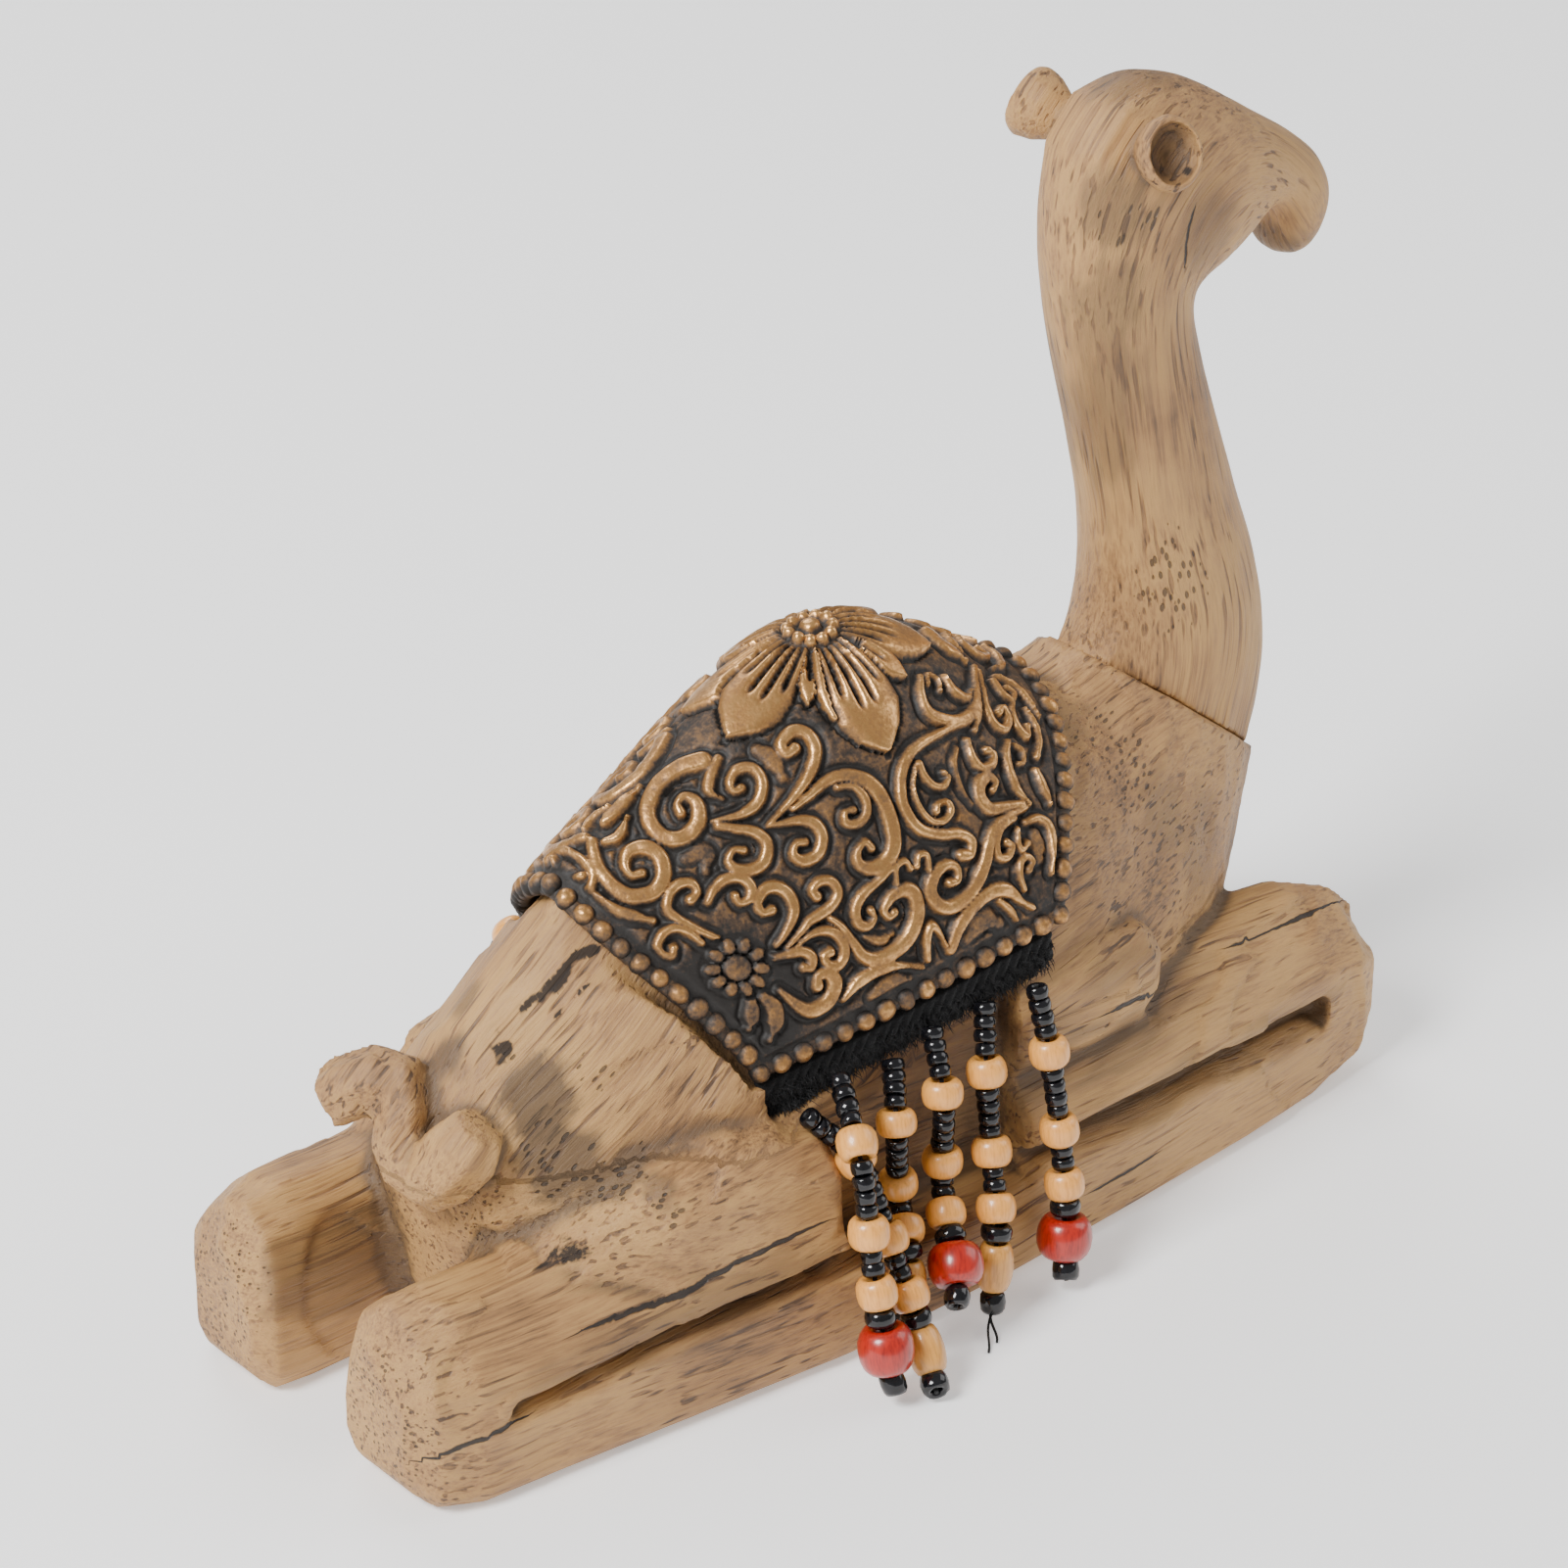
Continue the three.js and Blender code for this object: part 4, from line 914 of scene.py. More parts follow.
# The scrollwork of one side, from the rear rim to the front rim.
VINES: tuple[Vine, ...] = (
    Vine(((6.4, 0), (6.6, 5), (5.8, 10.3), (4, 12), (2.6, 8.8), (3.6, 5.6), (4.9, 7.4)), 0.8, 1.0, 0.9),
    Vine(((9.3, 1.5), (7.7, 7), (7, 12), (6.9, 18), (7.8, 23.5), (10.6, 27), (13.4, 25.3), (14.8, 20),
          (14.1, 15), (12, 12.6), (10.3, 14.6), (9.9, 18.4), (11.2, 20.3)), 1.2, 1.6, 1.0),
    Vine(((10.5, 4.6), (12.6, 6.6), (15.4, 4.2)), 0.8, 1.1, 0.6),
    Vine(((28.6, 8.8), (25.6, 5.4), (21.5, 4.2), (18.2, 7.2), (17, 12), (17.3, 17.6), (19.5, 21.3),
          (22.4, 20.8), (24, 16.6), (23.4, 12.8), (21.9, 12.6), (21.4, 15.2)), 1.9, 1.6, 1.1),
    Vine(((30.6, 11.5), (28.2, 13.5), (26.6, 16.6), (27.4, 20.6)), 0.9, 1.2, 0.5, 0.8),
    Vine(((24.2, 23.6), (25.8, 25.4), (28.5, 27.9), (31.5, 28.2), (33.7, 25), (33.7, 20.4), (31.7, 17.8),
          (29.6, 19.1), (29.4, 21.6), (30.6, 22.3)), 0.5, 1.2, 0.95),
    Vine(((31, 35), (36, 34), (40.5, 31.8), (43.6, 28), (44, 23.4), (42.2, 20), (39.6, 20.6),
          (39.2, 23.6), (41, 23.8)), 0.6, 1.35, 1.2),
    Vine(((36, 17.5), (37, 22), (36.8, 27.5)), 1.2, 1.7, 1.0, 0.45),
    Vine(((35.5, 36), (39, 36), (43, 35.8), (46.6, 37.8), (49.8, 42.5), (51.2, 48), (51.4, 55),
          (50.2, 60), (47.4, 62), (44.4, 61.3), (42.3, 58.6), (42.8, 55.5), (45, 54.6), (45.8, 56.8)),
          0.7, 1.65, 0.95),
    Vine(((44, 38.6), (46.8, 41), (48, 45), (47.2, 48.6), (45, 49.5), (43, 47.6), (43.5, 45.2),
          (45.2, 46)), 0.7, 1.1, 0.85),
    Vine(((30.6, 35), (33, 37.3), (35.6, 39.5), (37.7, 43), (37.7, 47), (35.6, 49.7), (32.9, 49),
          (31.8, 46), (33, 44), (34.6, 45)), 0.5, 1.3, 0.95),
    Vine(((24.4, 25.5), (26.2, 29.5), (28.4, 34), (29, 38.5), (27.3, 41.8), (24.8, 41.8), (22.6, 38.8),
          (22.4, 35.2), (24, 33.8), (25.3, 35.8)), 0.9, 1.3, 0.9),
    Vine(((12.8, 51), (11.4, 45), (10.4, 39), (10.2, 34), (12, 30.8), (14.2, 30.6), (15.7, 33),
          (15.4, 36.2), (13.8, 36.6)), 0.8, 1.1, 1.1),
    Vine(((10.4, 49), (10.1, 44), (9, 40), (7, 38.8), (5, 40.4), (4.4, 43.6), (5.4, 46.2), (6.4, 44.6)),
          0.8, 1.05, 1.0),
    Vine(((15.6, 40.4), (17.6, 38.8), (20, 38.6), (22.2, 41), (22.8, 45), (21.4, 47.6), (19.6, 46.8),
          (19.8, 44.4)), 0.9, 1.2, 0.9),
    Vine(((20.5, 63.6), (23.5, 62), (26.5, 59), (27.5, 54.5), (26.4, 50), (24.2, 48.3), (22.1, 50),
          (21.8, 53.3), (23.4, 54.4)), 0.8, 1.3, 1.1),
    Vine(((22, 66), (26, 64.6), (28.6, 63.6), (33, 63.8), (35.8, 62), (35.9, 58.6), (34, 56.3),
          (31.7, 56.8), (31.9, 59)), 0.7, 1.15, 1.15),
    Vine(((18, 66.2), (21, 67.6), (24, 69.5), (25.3, 72.6), (24.2, 75.2), (22.8, 74)), 0.7, 1.2, 1.1),
    Vine(((23, 67.6), (27.2, 66.9), (31, 69), (32.8, 73), (32.3, 77), (30, 78.9), (27.9, 77.2),
          (27.8, 74.4), (29.4, 74.4)), 0.6, 1.2, 1.1),
    Vine(((15.8, 76), (16.8, 81), (18.5, 85.6), (21.2, 87.2), (25, 86.4), (27.6, 83), (27, 79.4),
          (24.6, 78.6), (23.6, 81)), 0.8, 1.6, 1.3),
    Vine(((32.4, 66.3), (33.8, 70), (34.8, 75), (36.2, 80.4), (39.6, 83.4), (45, 83.8), (49.4, 82.2),
          (52.4, 78), (52.5, 73.2), (50.2, 70.8), (47, 70.6), (44.4, 72.4), (44.9, 74.8), (46.6, 74.6)),
          0.7, 1.6, 1.0),
    Vine(((49.6, 64), (45, 65), (40.4, 66), (37.9, 68.6), (37.7, 72), (39.4, 73.8), (41.5, 73),
          (41.4, 70.8)), 0.8, 1.2, 0.9),
    Vine(((28.2, 88.6), (33, 86.4), (38, 86), (43.5, 87.3), (51.5, 91.6)), 0.8, 1.4, 0.7),
    Vine(((36, 92.4), (42, 91), (48, 93.6)), 0.8, 1.5, 0.6, 0.45),
    Vine(((9.6, 74), (7.8, 78), (5.4, 81.5)), 1.2, 1.7, 0.8, 0.9),
    Vine(((12.2, 75), (12.6, 80), (10.8, 84.6), (7.4, 88.6)), 1.1, 1.8, 0.8, 0.9),
    Vine(((4.2, 15), (4.6, 22), (6, 28.5), (7.4, 33.6)), 0.8, 1.2, 0.8, 0.8),
    Vine(((17.6, 26), (20.4, 28.8), (18.8, 33)), 0.9, 1.7, 0.8, 0.35),
    Vine(((73.8, 36.8), (69.8, 38), (65, 39.4), (60.5, 41), (57, 44.5), (55.2, 50), (55.7, 55.5),
          (58, 60), (62.5, 62.8), (67, 64.2), (70, 66.8), (69.4, 70), (66.8, 69.6)), 0.7, 1.25, 1.3),
    Vine(((60.2, 44.6), (58.2, 50), (58.7, 55.2), (60.7, 58.8), (63.5, 59.9), (65.8, 58.2), (65.4, 55.7),
          (63, 55.5), (62.2, 57)), 0.5, 0.85, 0.9),
    Vine(((61, 44.4), (61.4, 47.5), (63, 50.6), (65.3, 51.6), (67, 50), (66.2, 48.4)), 0.9, 0.9, 0.7),
    Vine(((68.6, 22.6), (66.8, 28), (67, 32.8), (70, 35.4), (74.4, 36), (77.6, 33.6), (79.6, 29),
          (81.2, 23.5), (83.2, 18)), 0.6, 1.45, 0.9),
    Vine(((74, 22.6), (74.8, 27.5), (77, 29.8), (79, 27)), 0.5, 1.2, 0.6),
    Vine(((71.6, 27.6), (72, 24), (70.4, 22.2), (69.4, 25)), 0.5, 0.6, 0.7),
    Vine(((77.6, 6), (78.8, 12), (81.6, 16.4)), 1.5, 1.7, 0.8),
    Vine(((79.6, 31), (78.3, 35), (76.6, 39)), 0.7, 1.0, 0.8),
    Vine(((74, 41.4), (74.1, 46), (75.8, 49.4), (78.5, 49.2), (79.7, 46.6), (78.3, 44.8)), 0.7, 1.1, 0.9),
    Vine(((85.5, 61.2), (80.8, 61), (76.4, 60.6), (74.1, 57), (74.6, 53.6), (77, 52), (78.8, 54),
          (77.8, 55.8)), 0.9, 1.5, 0.9),
    Vine(((86.4, 62.4), (81.6, 63.6), (77.4, 65.2), (75, 69), (72.8, 74.4), (68.8, 79), (63.2, 81),
          (58.7, 79), (56.8, 74.8), (58.6, 71.4), (62, 70.3), (64.9, 71.9), (64.8, 75), (62.6, 75)), 0.8,
          1.5, 1.0),
    Vine(((48.8, 68.4), (49.6, 64.8), (52, 64.4), (53, 66.8)), 0.7, 0.8, 0.8),
    Vine(((57.4, 69.4), (57.6, 66), (55.6, 65), (54.6, 67.2)), 0.7, 0.8, 0.8),
    Vine(((83, 64.8), (79, 66.2), (77, 69.2), (77.3, 73.3), (80, 74.3), (81.6, 72), (80, 70.4)), 0.7, 1.0,
          1.0),
    Vine(((83.6, 67.6), (83.3, 71), (84.5, 73.8), (86.4, 72.6)), 0.6, 0.8, 0.9),
    Vine(((85, 85), (83.6, 80.5), (84, 77.2), (86, 76.2), (87.6, 78.2), (86.4, 80)), 0.7, 0.9, 1.0),
    Vine(((86, 66.6), (90, 66.6), (93, 70), (94.2, 77), (94, 84)), 0.7, 1.1, 0.7),
    Vine(((89.4, 71), (90.2, 78)), 1.2, 1.8, 1.2, 0.4),
    Vine(((60.6, 91), (63.6, 86.8), (68.6, 83.2), (75, 81.6), (80, 83.4), (83.8, 87.4), (87.8, 91)), 1.3,
          1.5, 0.8),
    Vine(((77, 84.8), (80.3, 88.6), (82.3, 92)), 0.6, 0.9, 0.7),
    Vine(((66.5, 90.6), (71.5, 88), (77, 91)), 1.2, 2.1, 1.2, 0.4),
    Vine(((53.4, 90.6), (53.8, 85.4), (55.4, 82.8), (57.3, 84.8), (59.2, 89.4)), 0.8, 1.0, 0.7),
    Vine(((83.5, 19.6), (82, 26), (81.2, 32), (82, 37.4), (84.2, 39), (86, 35.8), (85.6, 31.6),
          (84.3, 33.4)), 0.7, 1.0, 0.9),
    Vine(((88.6, 29.6), (87.4, 33.4), (87.8, 38), (89.7, 41), (90.4, 37.6)), 0.7, 1.0, 0.9),
    Vine(((86.4, 21.6), (86.8, 26.6), (88.6, 28.6), (89.8, 26), (88.6, 24)), 0.8, 0.9, 0.9),
    Vine(((87.6, 19.4), (91, 22), (93, 28), (94.2, 34)), 0.6, 0.9, 0.6),
    Vine(((84.2, 42.6), (83, 47), (83.4, 53), (85, 58), (87.4, 61.6)), 0.7, 1.1, 0.8),
    Vine(((85.4, 43.6), (87.2, 45.6), (87.2, 49.2), (86, 49.6)), 0.6, 0.7, 0.8),
    Vine(((91.4, 31), (92.4, 36.5), (92.6, 43), (91.2, 48)), 0.5, 0.8, 0.8),
    Vine(((90.2, 52), (91.8, 57.5), (93.6, 63.4)), 0.8, 1.1, 0.6),
    Vine(((86.6, 2), (85.6, 7), (87.4, 11), (90, 9), (89.2, 6)), 0.8, 1.1, 1.0),
    Vine(((92.8, 1.5), (93, 8), (91.4, 13.6), (88.8, 15.6)), 0.7, 1.1, 0.7),
    Vine(((83, 3), (81.8, 8), (82.6, 12)), 0.7, 0.9, 0.6),
    Vine(((12.4, 0), (14.8, 0.8), (20, 0.2)), 0.8, 1.0, 0.5),
    Vine(((71.4, 43), (69.6, 47), (69.8, 53), (72, 58)), 0.5, 0.8, 0.5, 0.5),
    Vine(((38, 76), (41.5, 79.4), (45, 79.6)), 0.5, 1.0, 0.5, 0.6),
)


@dataclass(frozen=True)
class Petal:
    """One petal of the crown flower: direction in degrees from forward, length and half width."""

    degrees: float
    length: float
    half_width: float


@dataclass(frozen=True)
class CrownFlower:
    """Flower on the crown: pointed petals with grooves around a ring of small beads."""

    at: tuple[float, float] = (0.556, 0.0)
    petals: tuple[Petal, ...] = (
        Petal(24, 23, 6.2), Petal(58, 19.5, 3.4), Petal(90, 27.5, 7.2), Petal(113, 19.5, 2.7),
        Petal(130, 16, 2.7), Petal(165, 25.5, 7.0), Petal(195, 25.5, 7.0), Petal(230, 16, 2.7),
        Petal(247, 19.5, 2.7), Petal(270, 27.5, 7.2), Petal(302, 19.5, 3.4), Petal(336, 23, 6.2),
    )
    eye_radius: float = 1.7
    bead_ring: float = 3.9
    bead_radius: float = 1.15
    beads: int = 11

    def heights(self, forward: np.ndarray, leftward: np.ndarray, below: np.ndarray) -> np.ndarray:
        """Relief of the flower laid over the ground.

        Args:
            forward: millimetres from the middle towards the front.
            leftward: millimetres from the middle towards the left.
            below: height of the ground in millimetres.

        Returns:
            Height with the flower on it.
        """
        made = below.copy()
        for petal in sorted(self.petals, key=lambda p: p.length):
            angle = math.radians(petal.degrees)
            along = forward * math.cos(angle) + leftward * math.sin(angle)
            across = leftward * math.cos(angle) - forward * math.sin(angle)
            t = np.clip(along / petal.length, 0, 1)
            half = petal.half_width * np.interp(
                t, [0, 0.15, 0.35, 0.55, 0.7, 0.85, 0.95, 1], [0.22, 0.34, 0.66, 0.93, 1.0, 0.72, 0.3, 0]
            )
            side = np.abs(across) / np.maximum(half, 1e-3)
            inside = (along > 0) & (along < petal.length) & (side < 1)
            lifted = 0.3 + 1.35 * (1 - np.clip(side, 0, 1) ** 6) * lerp(0.75, 1.0, t)
            slits = (-0.6, -0.2, 0.2, 0.6) if petal.half_width > 4 else (0.0,)
            for slit in slits:
                off = across / np.maximum(half, 1e-3) - slit
                reach = 0.78 - 0.3 * abs(slit)
                window = smooth(0.1, 0.22, t) * (1 - smooth(reach - 0.12, reach, t))
                lifted = lifted - 1.7 * window * np.exp(-((off * half / 0.5) ** 2))
            made = np.where(inside, lifted, made)
            edge = (along > 0) & (along < petal.length * 1.04) & (side >= 1) & (np.abs(across) < half + 0.8)
            made = np.where(edge & (made < 1.2), np.minimum(made, -0.35), made)
        distance = np.hypot(forward, leftward)
        made = np.where(distance < self.bead_ring + self.bead_radius + 0.4, 0.2, made)
        turn = np.arctan2(leftward, forward) * self.beads / (2 * np.pi)
        off = (turn - np.round(turn)) * 2 * np.pi / self.beads * distance
        from_bead = np.hypot(distance - self.bead_ring, off)
        made = np.where(
            from_bead < self.bead_radius,
            0.5 + 1.5 * np.sqrt(np.maximum(1 - (from_bead / self.bead_radius) ** 2, 0)),
            made,
        )
        inner = np.clip(distance / self.eye_radius, 0, 1)
        return np.where(distance < self.eye_radius, 0.9 + 0.9 * np.sqrt(1 - inner**2), made)


@dataclass(frozen=True)
class Rosette:
    """Round rosette near a rear foot: small lobes around a domed middle."""

    at: tuple[float, float] = (0.12, -0.625)
    radius: float = 5.6
    lobes: int = 10

    def heights(self, forward: np.ndarray, leftward: np.ndarray, below: np.ndarray) -> np.ndarray:
        """Relief of the rosette laid over the ground."""
        distance = np.hypot(forward, leftward)
        turn = np.arctan2(leftward, forward) * self.lobes / (2 * np.pi)
        off = (turn - np.round(turn)) * 2 * np.pi / self.lobes * distance
        lobe = np.hypot((distance - 4.2) / 1.5, off / 1.15)
        made = np.where(distance < self.radius + 0.7, np.minimum(below, -0.15), below)
        made = np.where(lobe < 1, 0.3 + 0.9 * np.sqrt(np.maximum(1 - lobe**2, 0)), made)
        middle = np.clip(distance / 2.5, 0, 1)
        return np.where(distance < 2.5, 0.35 + 0.9 * np.sqrt(1 - middle**2), made)


@dataclass
class SaddleBlanket:
    """Blanket over the hump: a shell with raised scrollwork and a rim of beads."""

    surface: BlanketSurface = field(default_factory=BlanketSurface)
    flower: CrownFlower = CrownFlower()
    rosette: Rosette = Rosette()
    thickness: float = 3.0
    rows: int = 270
    columns: int = 320
    inset: float = 0.014
    coarse: int = 10
    band_rise: float = 1.35
    band_spread: float = 0.22
    band_bevel: float = 0.85
    groove_depth: float = 0.55
    # Reach of the rosette and of the crown flower over the ground, in millimetres.
    rosette_reach: float = 12.0
    flower_reach: float = 34.0
    # Bare channel inside the rim: its inner edge fades between these distances from the rim.
    channel: tuple[float, float] = (3.2, 4.4)
    # Length from rear to front and from crown to foot, in millimetres.
    span: tuple[float, float] = (95.0, 62.0)
    rim_radius: float = 2.15
    rim_pitch: float = 4.3
    rail_half_width: float = 1.75
    rail_half_height: float = 1.6
    rail_sides: int = 10

    def shares(self) -> tuple[np.ndarray, np.ndarray]:
        """Grid of u and v over the cloth."""
        u = np.linspace(self.inset, 1 - self.inset, self.rows + 1)
        v = np.linspace(self.inset - 1, 1 - self.inset, self.columns + 1)
        grid = np.meshgrid(u, v, indexing="ij")
        return grid[0], grid[1]

    def bands(self, u: np.ndarray, v: np.ndarray, places: np.ndarray) -> tuple[np.ndarray, np.ndarray]:
        """The raised bands of both sides.

        Args:
            u: shares from rear to front.
            v: shares from right to left.
            places: points of the surface, one per share.

        Returns:
            Height of the bands as a share of their full rise, and the distance to the nearest edge of
            a band in millimetres, less than 0 on a band.
        """
        flat_u, flat_v, flat = u.ravel(), -np.abs(v.ravel()), places.reshape(-1, 3).copy()
        flat[:, 1] = -np.abs(flat[:, 1])
        height, gap = np.zeros(len(flat)), np.full(len(flat), 9.0)
        for vine in VINES:
            line = vine.line()
            low, high = line[:, :2].min(axis=0) - 0.05, line[:, :2].max(axis=0) + 0.05
            near = np.flatnonzero(
                (flat_u > low[0]) & (flat_u < high[0]) & (flat_v > low[1]) & (flat_v < high[1])
            )
            spots = self.surface.points(line[:, 0], line[:, 1])
            away = np.linalg.norm(flat[near][:, None, :] - spots[None, :, :], axis=2)
            nearest = away.argmin(axis=1)
            half, distance = line[nearest, 2] + self.band_spread, away.min(axis=1)
            share = np.clip(distance / half, 0, 1)
            profile = vine.rise * smooth(0.0, self.band_bevel, half - distance) * (1 - 0.2 * share**2)
            height[near] = np.maximum(height[near], profile)
            gap[near] = np.minimum(gap[near], distance - half)
        return height.reshape(u.shape), gap.reshape(u.shape)

    def relief(self, u: np.ndarray, v: np.ndarray, places: np.ndarray) -> np.ndarray:
        """Height of the ornament over the cloth, in millimetres.

        Args:
            u: shares from rear to front.
            v: shares from right to left.
            places: points of the surface, one per share.

        Returns:
            Heights, one per share.
        """
        share, gap = self.bands(u, v, places)
        flat = places.reshape(-1, 3)
        rough = noise_at(flat, (0.5, 0.5, 0.5), 1).reshape(u.shape)
        slow = noise_at(flat, (0.11, 0.11, 0.11), 2).reshape(u.shape)
        ground = 0.12 + 0.16 * rough + 0.2 * slow
        height = np.maximum(ground, self.band_rise * share * (1 + 0.14 * rough + 0.1 * slow))
        height -= self.groove_depth * np.exp(-(((gap - 0.35) / 0.42) ** 2))
        for sign in (1, -1):
            per_u, per_v = self.surface.stretch(*self.rosette.at)
            forward = (u - self.rosette.at[0]) * per_u
            leftward = (v - self.rosette.at[1] * sign) * per_v
            close = np.hypot(forward, leftward) < self.rosette_reach
            height = np.where(close, self.rosette.heights(forward, leftward, height), height)
        per_u, per_v = self.surface.stretch(*self.flower.at)
        forward = (u - self.flower.at[0]) * per_u
        leftward = v * per_v
        close = np.hypot(forward, leftward) < self.flower_reach
        height = np.where(close, self.flower.heights(forward, leftward, height), height)
        edge = np.minimum(np.minimum(u, 1 - u) * self.span[0], (1 - np.abs(v)) * self.span[1])
        return lerp(height, -0.45 + 0.1 * rough, 1 - smooth(*self.channel, edge))

    def cloth(self, material: Material) -> Piece:
        """Shell with the relief on its outer face."""
        u, v = self.shares()
        places = self.surface.points(u, v)
        normals = self.surface.normals(u, v, 0.008)
        heights = self.relief(u, v, places)
        outer = (places + normals * heights[..., None]).reshape(-1, 3)
        rows, columns = u.shape
        ids = np.arange(rows * columns).reshape(rows, columns)
        faces: list[Sequence[int]] = grid_faces(ids)[:, ::-1].tolist()
        inner_points, inner_faces = self.lining(places, normals, ids)
        points = np.vstack([outer, inner_points])
        made = piece_from("saddle_blanket_cloth", points, [*faces, *inner_faces])
        rise = np.concatenate([heights.ravel(), np.full(len(inner_points), -0.4)])
        crevice = neighbour_mean(made, rise, 10) - rise
        marks = rise / self.band_rise - 0.9 * np.clip(crevice, -0.35, 0.6)
        marks[: heights.size] -= 0.75 * self.blackened(u, v).ravel()
        mark(made, "relief", marks)
        tidy_surface(made, None)
        return finish_piece(made, material, ["saddle_blanket"], 75)

    def blackened(self, u: np.ndarray, v: np.ndarray) -> np.ndarray:
        """Where the lower rear corners are painted over darker, from 0 to 1."""
        per_u, per_v = self.surface.stretch(*self.rosette.at)
        corner = (self.rosette.at[0] - 0.02, self.rosette.at[1] - 0.1)
        away = np.hypot((u - corner[0]) * per_u, (-np.abs(v) - corner[1]) * per_v)
        return 1 - smooth(7.0, 16.0, away)

    def lining(
        self, places: np.ndarray, normals: np.ndarray, ids: np.ndarray
    ) -> tuple[np.ndarray, list[Sequence[int]]]:
        """Coarse inner face, joined all round to the fine outer face.

        Args:
            places: grid of points of the outer face.
            normals: their normals.
            ids: their point numbers.

        Returns:
            Points of the inner face, and its faces with those of the joining edge.
        """
        step = self.coarse
        inner = (places - normals * self.thickness)[::step, ::step]
        rows, columns = inner.shape[:2]
        start = ids.size
        grid = start + np.arange(rows * columns).reshape(rows, columns)
        faces: list[Sequence[int]] = grid_faces(grid).tolist()
        fine = [ids[0, :], ids[:, -1], ids[-1, ::-1], ids[::-1, 0]]
        low = [grid[0, :], grid[:, -1], grid[-1, ::-1], grid[::-1, 0]]
        for upper, lower in zip(fine, low):
            for k in range(len(lower) - 1):
                run = upper[k * step : (k + 1) * step + 1].tolist()
                for a, b in zip(run, run[1:]):
                    faces.append([a, b, int(lower[k])])
                faces.append([run[-1], int(lower[k + 1]), int(lower[k])])
        return inner.reshape(-1, 3), faces

    def rim_spots(self) -> tuple[np.ndarray, np.ndarray]:
        """Shares u and v of each rim bead, all round."""
        low, high = 0.012, 0.988
        edges = [((low, -high), (low, high)), ((low, high), (high, high)), ((high, high), (high, -high)),
                 ((high, -high), (low, -high))]
        us: list[float] = []
        vs: list[float] = []
        for (u0, v0), (u1, v1) in edges:
            t = np.linspace(0, 1, 200)
            line = self.surface.points(lerp(u0, u1, t), lerp(v0, v1, t))
            length = travelled_along(line)
            count = round(length[-1] / self.rim_pitch)
            share = np.interp(np.arange(count) / count * length[-1], length, t)
            us.extend(lerp(u0, u1, share))
            vs.extend(lerp(v0, v1, share))
        return np.array(us), np.array(vs)

    def rim(self, material: Material) -> Piece:
        """String of cast beads along the rim on a thin bead rail."""
        bead = cast_bead(self.rim_radius)
        rng = random.Random(7)
        us, vs = self.rim_spots()
        centres = self.surface.raised(us, vs, -0.9)
        ups = self.surface.normals(us, vs)
        points: list[np.ndarray] = []
        faces: list[Sequence[int]] = []
        base = points_of(bead)
        loops = [list(p.vertices) for p in bead.data.polygons]
        count = 0
        heights: list[np.ndarray] = []
        for i, (centre, up) in enumerate(zip(centres, ups)):
            run = centres[(i + 1) % len(centres)] - centres[i - 1]
            run = run / np.linalg.norm(run)
            side = np.cross(up, run)
            squeeze = np.array([rng.uniform(0.86, 1.06), rng.uniform(0.82, 1.05), rng.uniform(0.88, 1.05)])
            local = base * squeeze
            wobble = noise_at(local + centre, (0.45, 0.45, 0.45), 3)[:, None]
            local = local * (1 + 0.12 * wobble)
            points.append(centre + local @ np.stack([run, side, up]))
            heights.append(-0.7 + rng.uniform(1.2, 2.0) * smooth(0.0, 1.0, local[:, 2] / self.rim_radius))
            faces.extend([[count + k for k in loop] for loop in loops])
            count += len(base)
        bpy.data.objects.remove(bead)
        made = piece_from("saddle_blanket_rim_beads", np.vstack(points), faces)
        mark(made, "relief", np.concatenate(heights))
        return finish_piece(made, material, ["saddle_blanket"], ROUND_ANGLE)

    def rail(self, material: Material) -> Piece:
        """Rounded rail under the rim beads, which closes the gaps between them."""
        us, vs = self.rim_spots()
        centres = self.surface.raised(us, vs, -1.5)
        ups = self.surface.normals(us, vs)
        count, sides = len(centres), self.rail_sides
        points: list[np.ndarray] = []
        for i in range(count):
            run = centres[(i + 1) % count] - centres[i - 1]
            side = np.cross(ups[i], run / np.linalg.norm(run))
            for k in range(sides):
                angle = 2 * math.pi * k / sides
                across = side * math.cos(angle) * self.rail_half_width
                points.append(centres[i] + across + ups[i] * math.sin(angle) * self.rail_half_height)
        faces = []
        for i in range(count):
            for k in range(sides):
                a, b = i * sides + k, i * sides + (k + 1) % sides
                c, d = (i + 1) % count * sides + (k + 1) % sides, (i + 1) % count * sides + k
                faces.append([a, b, c, d])
        made = piece_from("saddle_blanket_rim_rail", np.array(points), faces)
        mark(made, "relief", np.full(len(points), -0.1))
        tidy_surface(made)
        applied(made, "SUBSURF", levels=2, render_levels=2)
        return finish_piece(made, material, ["saddle_blanket"], ROUND_ANGLE)


def cast_bead(radius: float) -> Piece:
    """Model of one rim bead: a small sphere of the radius in millimetres."""
    choose_none()
    bpy.ops.mesh.primitive_uv_sphere_add(segments=16, ring_count=10, radius=radius * MM)
    return bpy.context.object


# Carved body and neck


@dataclass(frozen=True)
class Crack:
    """A drying crack along places in millimetres, as wide as its half width in the middle."""

    spots: tuple[tuple[float, float, float], ...]
    half_width: float = 0.5


@dataclass(frozen=True)
class Patch:
    """A patch of one mark around a place, fading out over its reach in millimetres."""

    at: tuple[float, float, float]
    reach: tuple[float, float, float]
    strength: float = 1.0


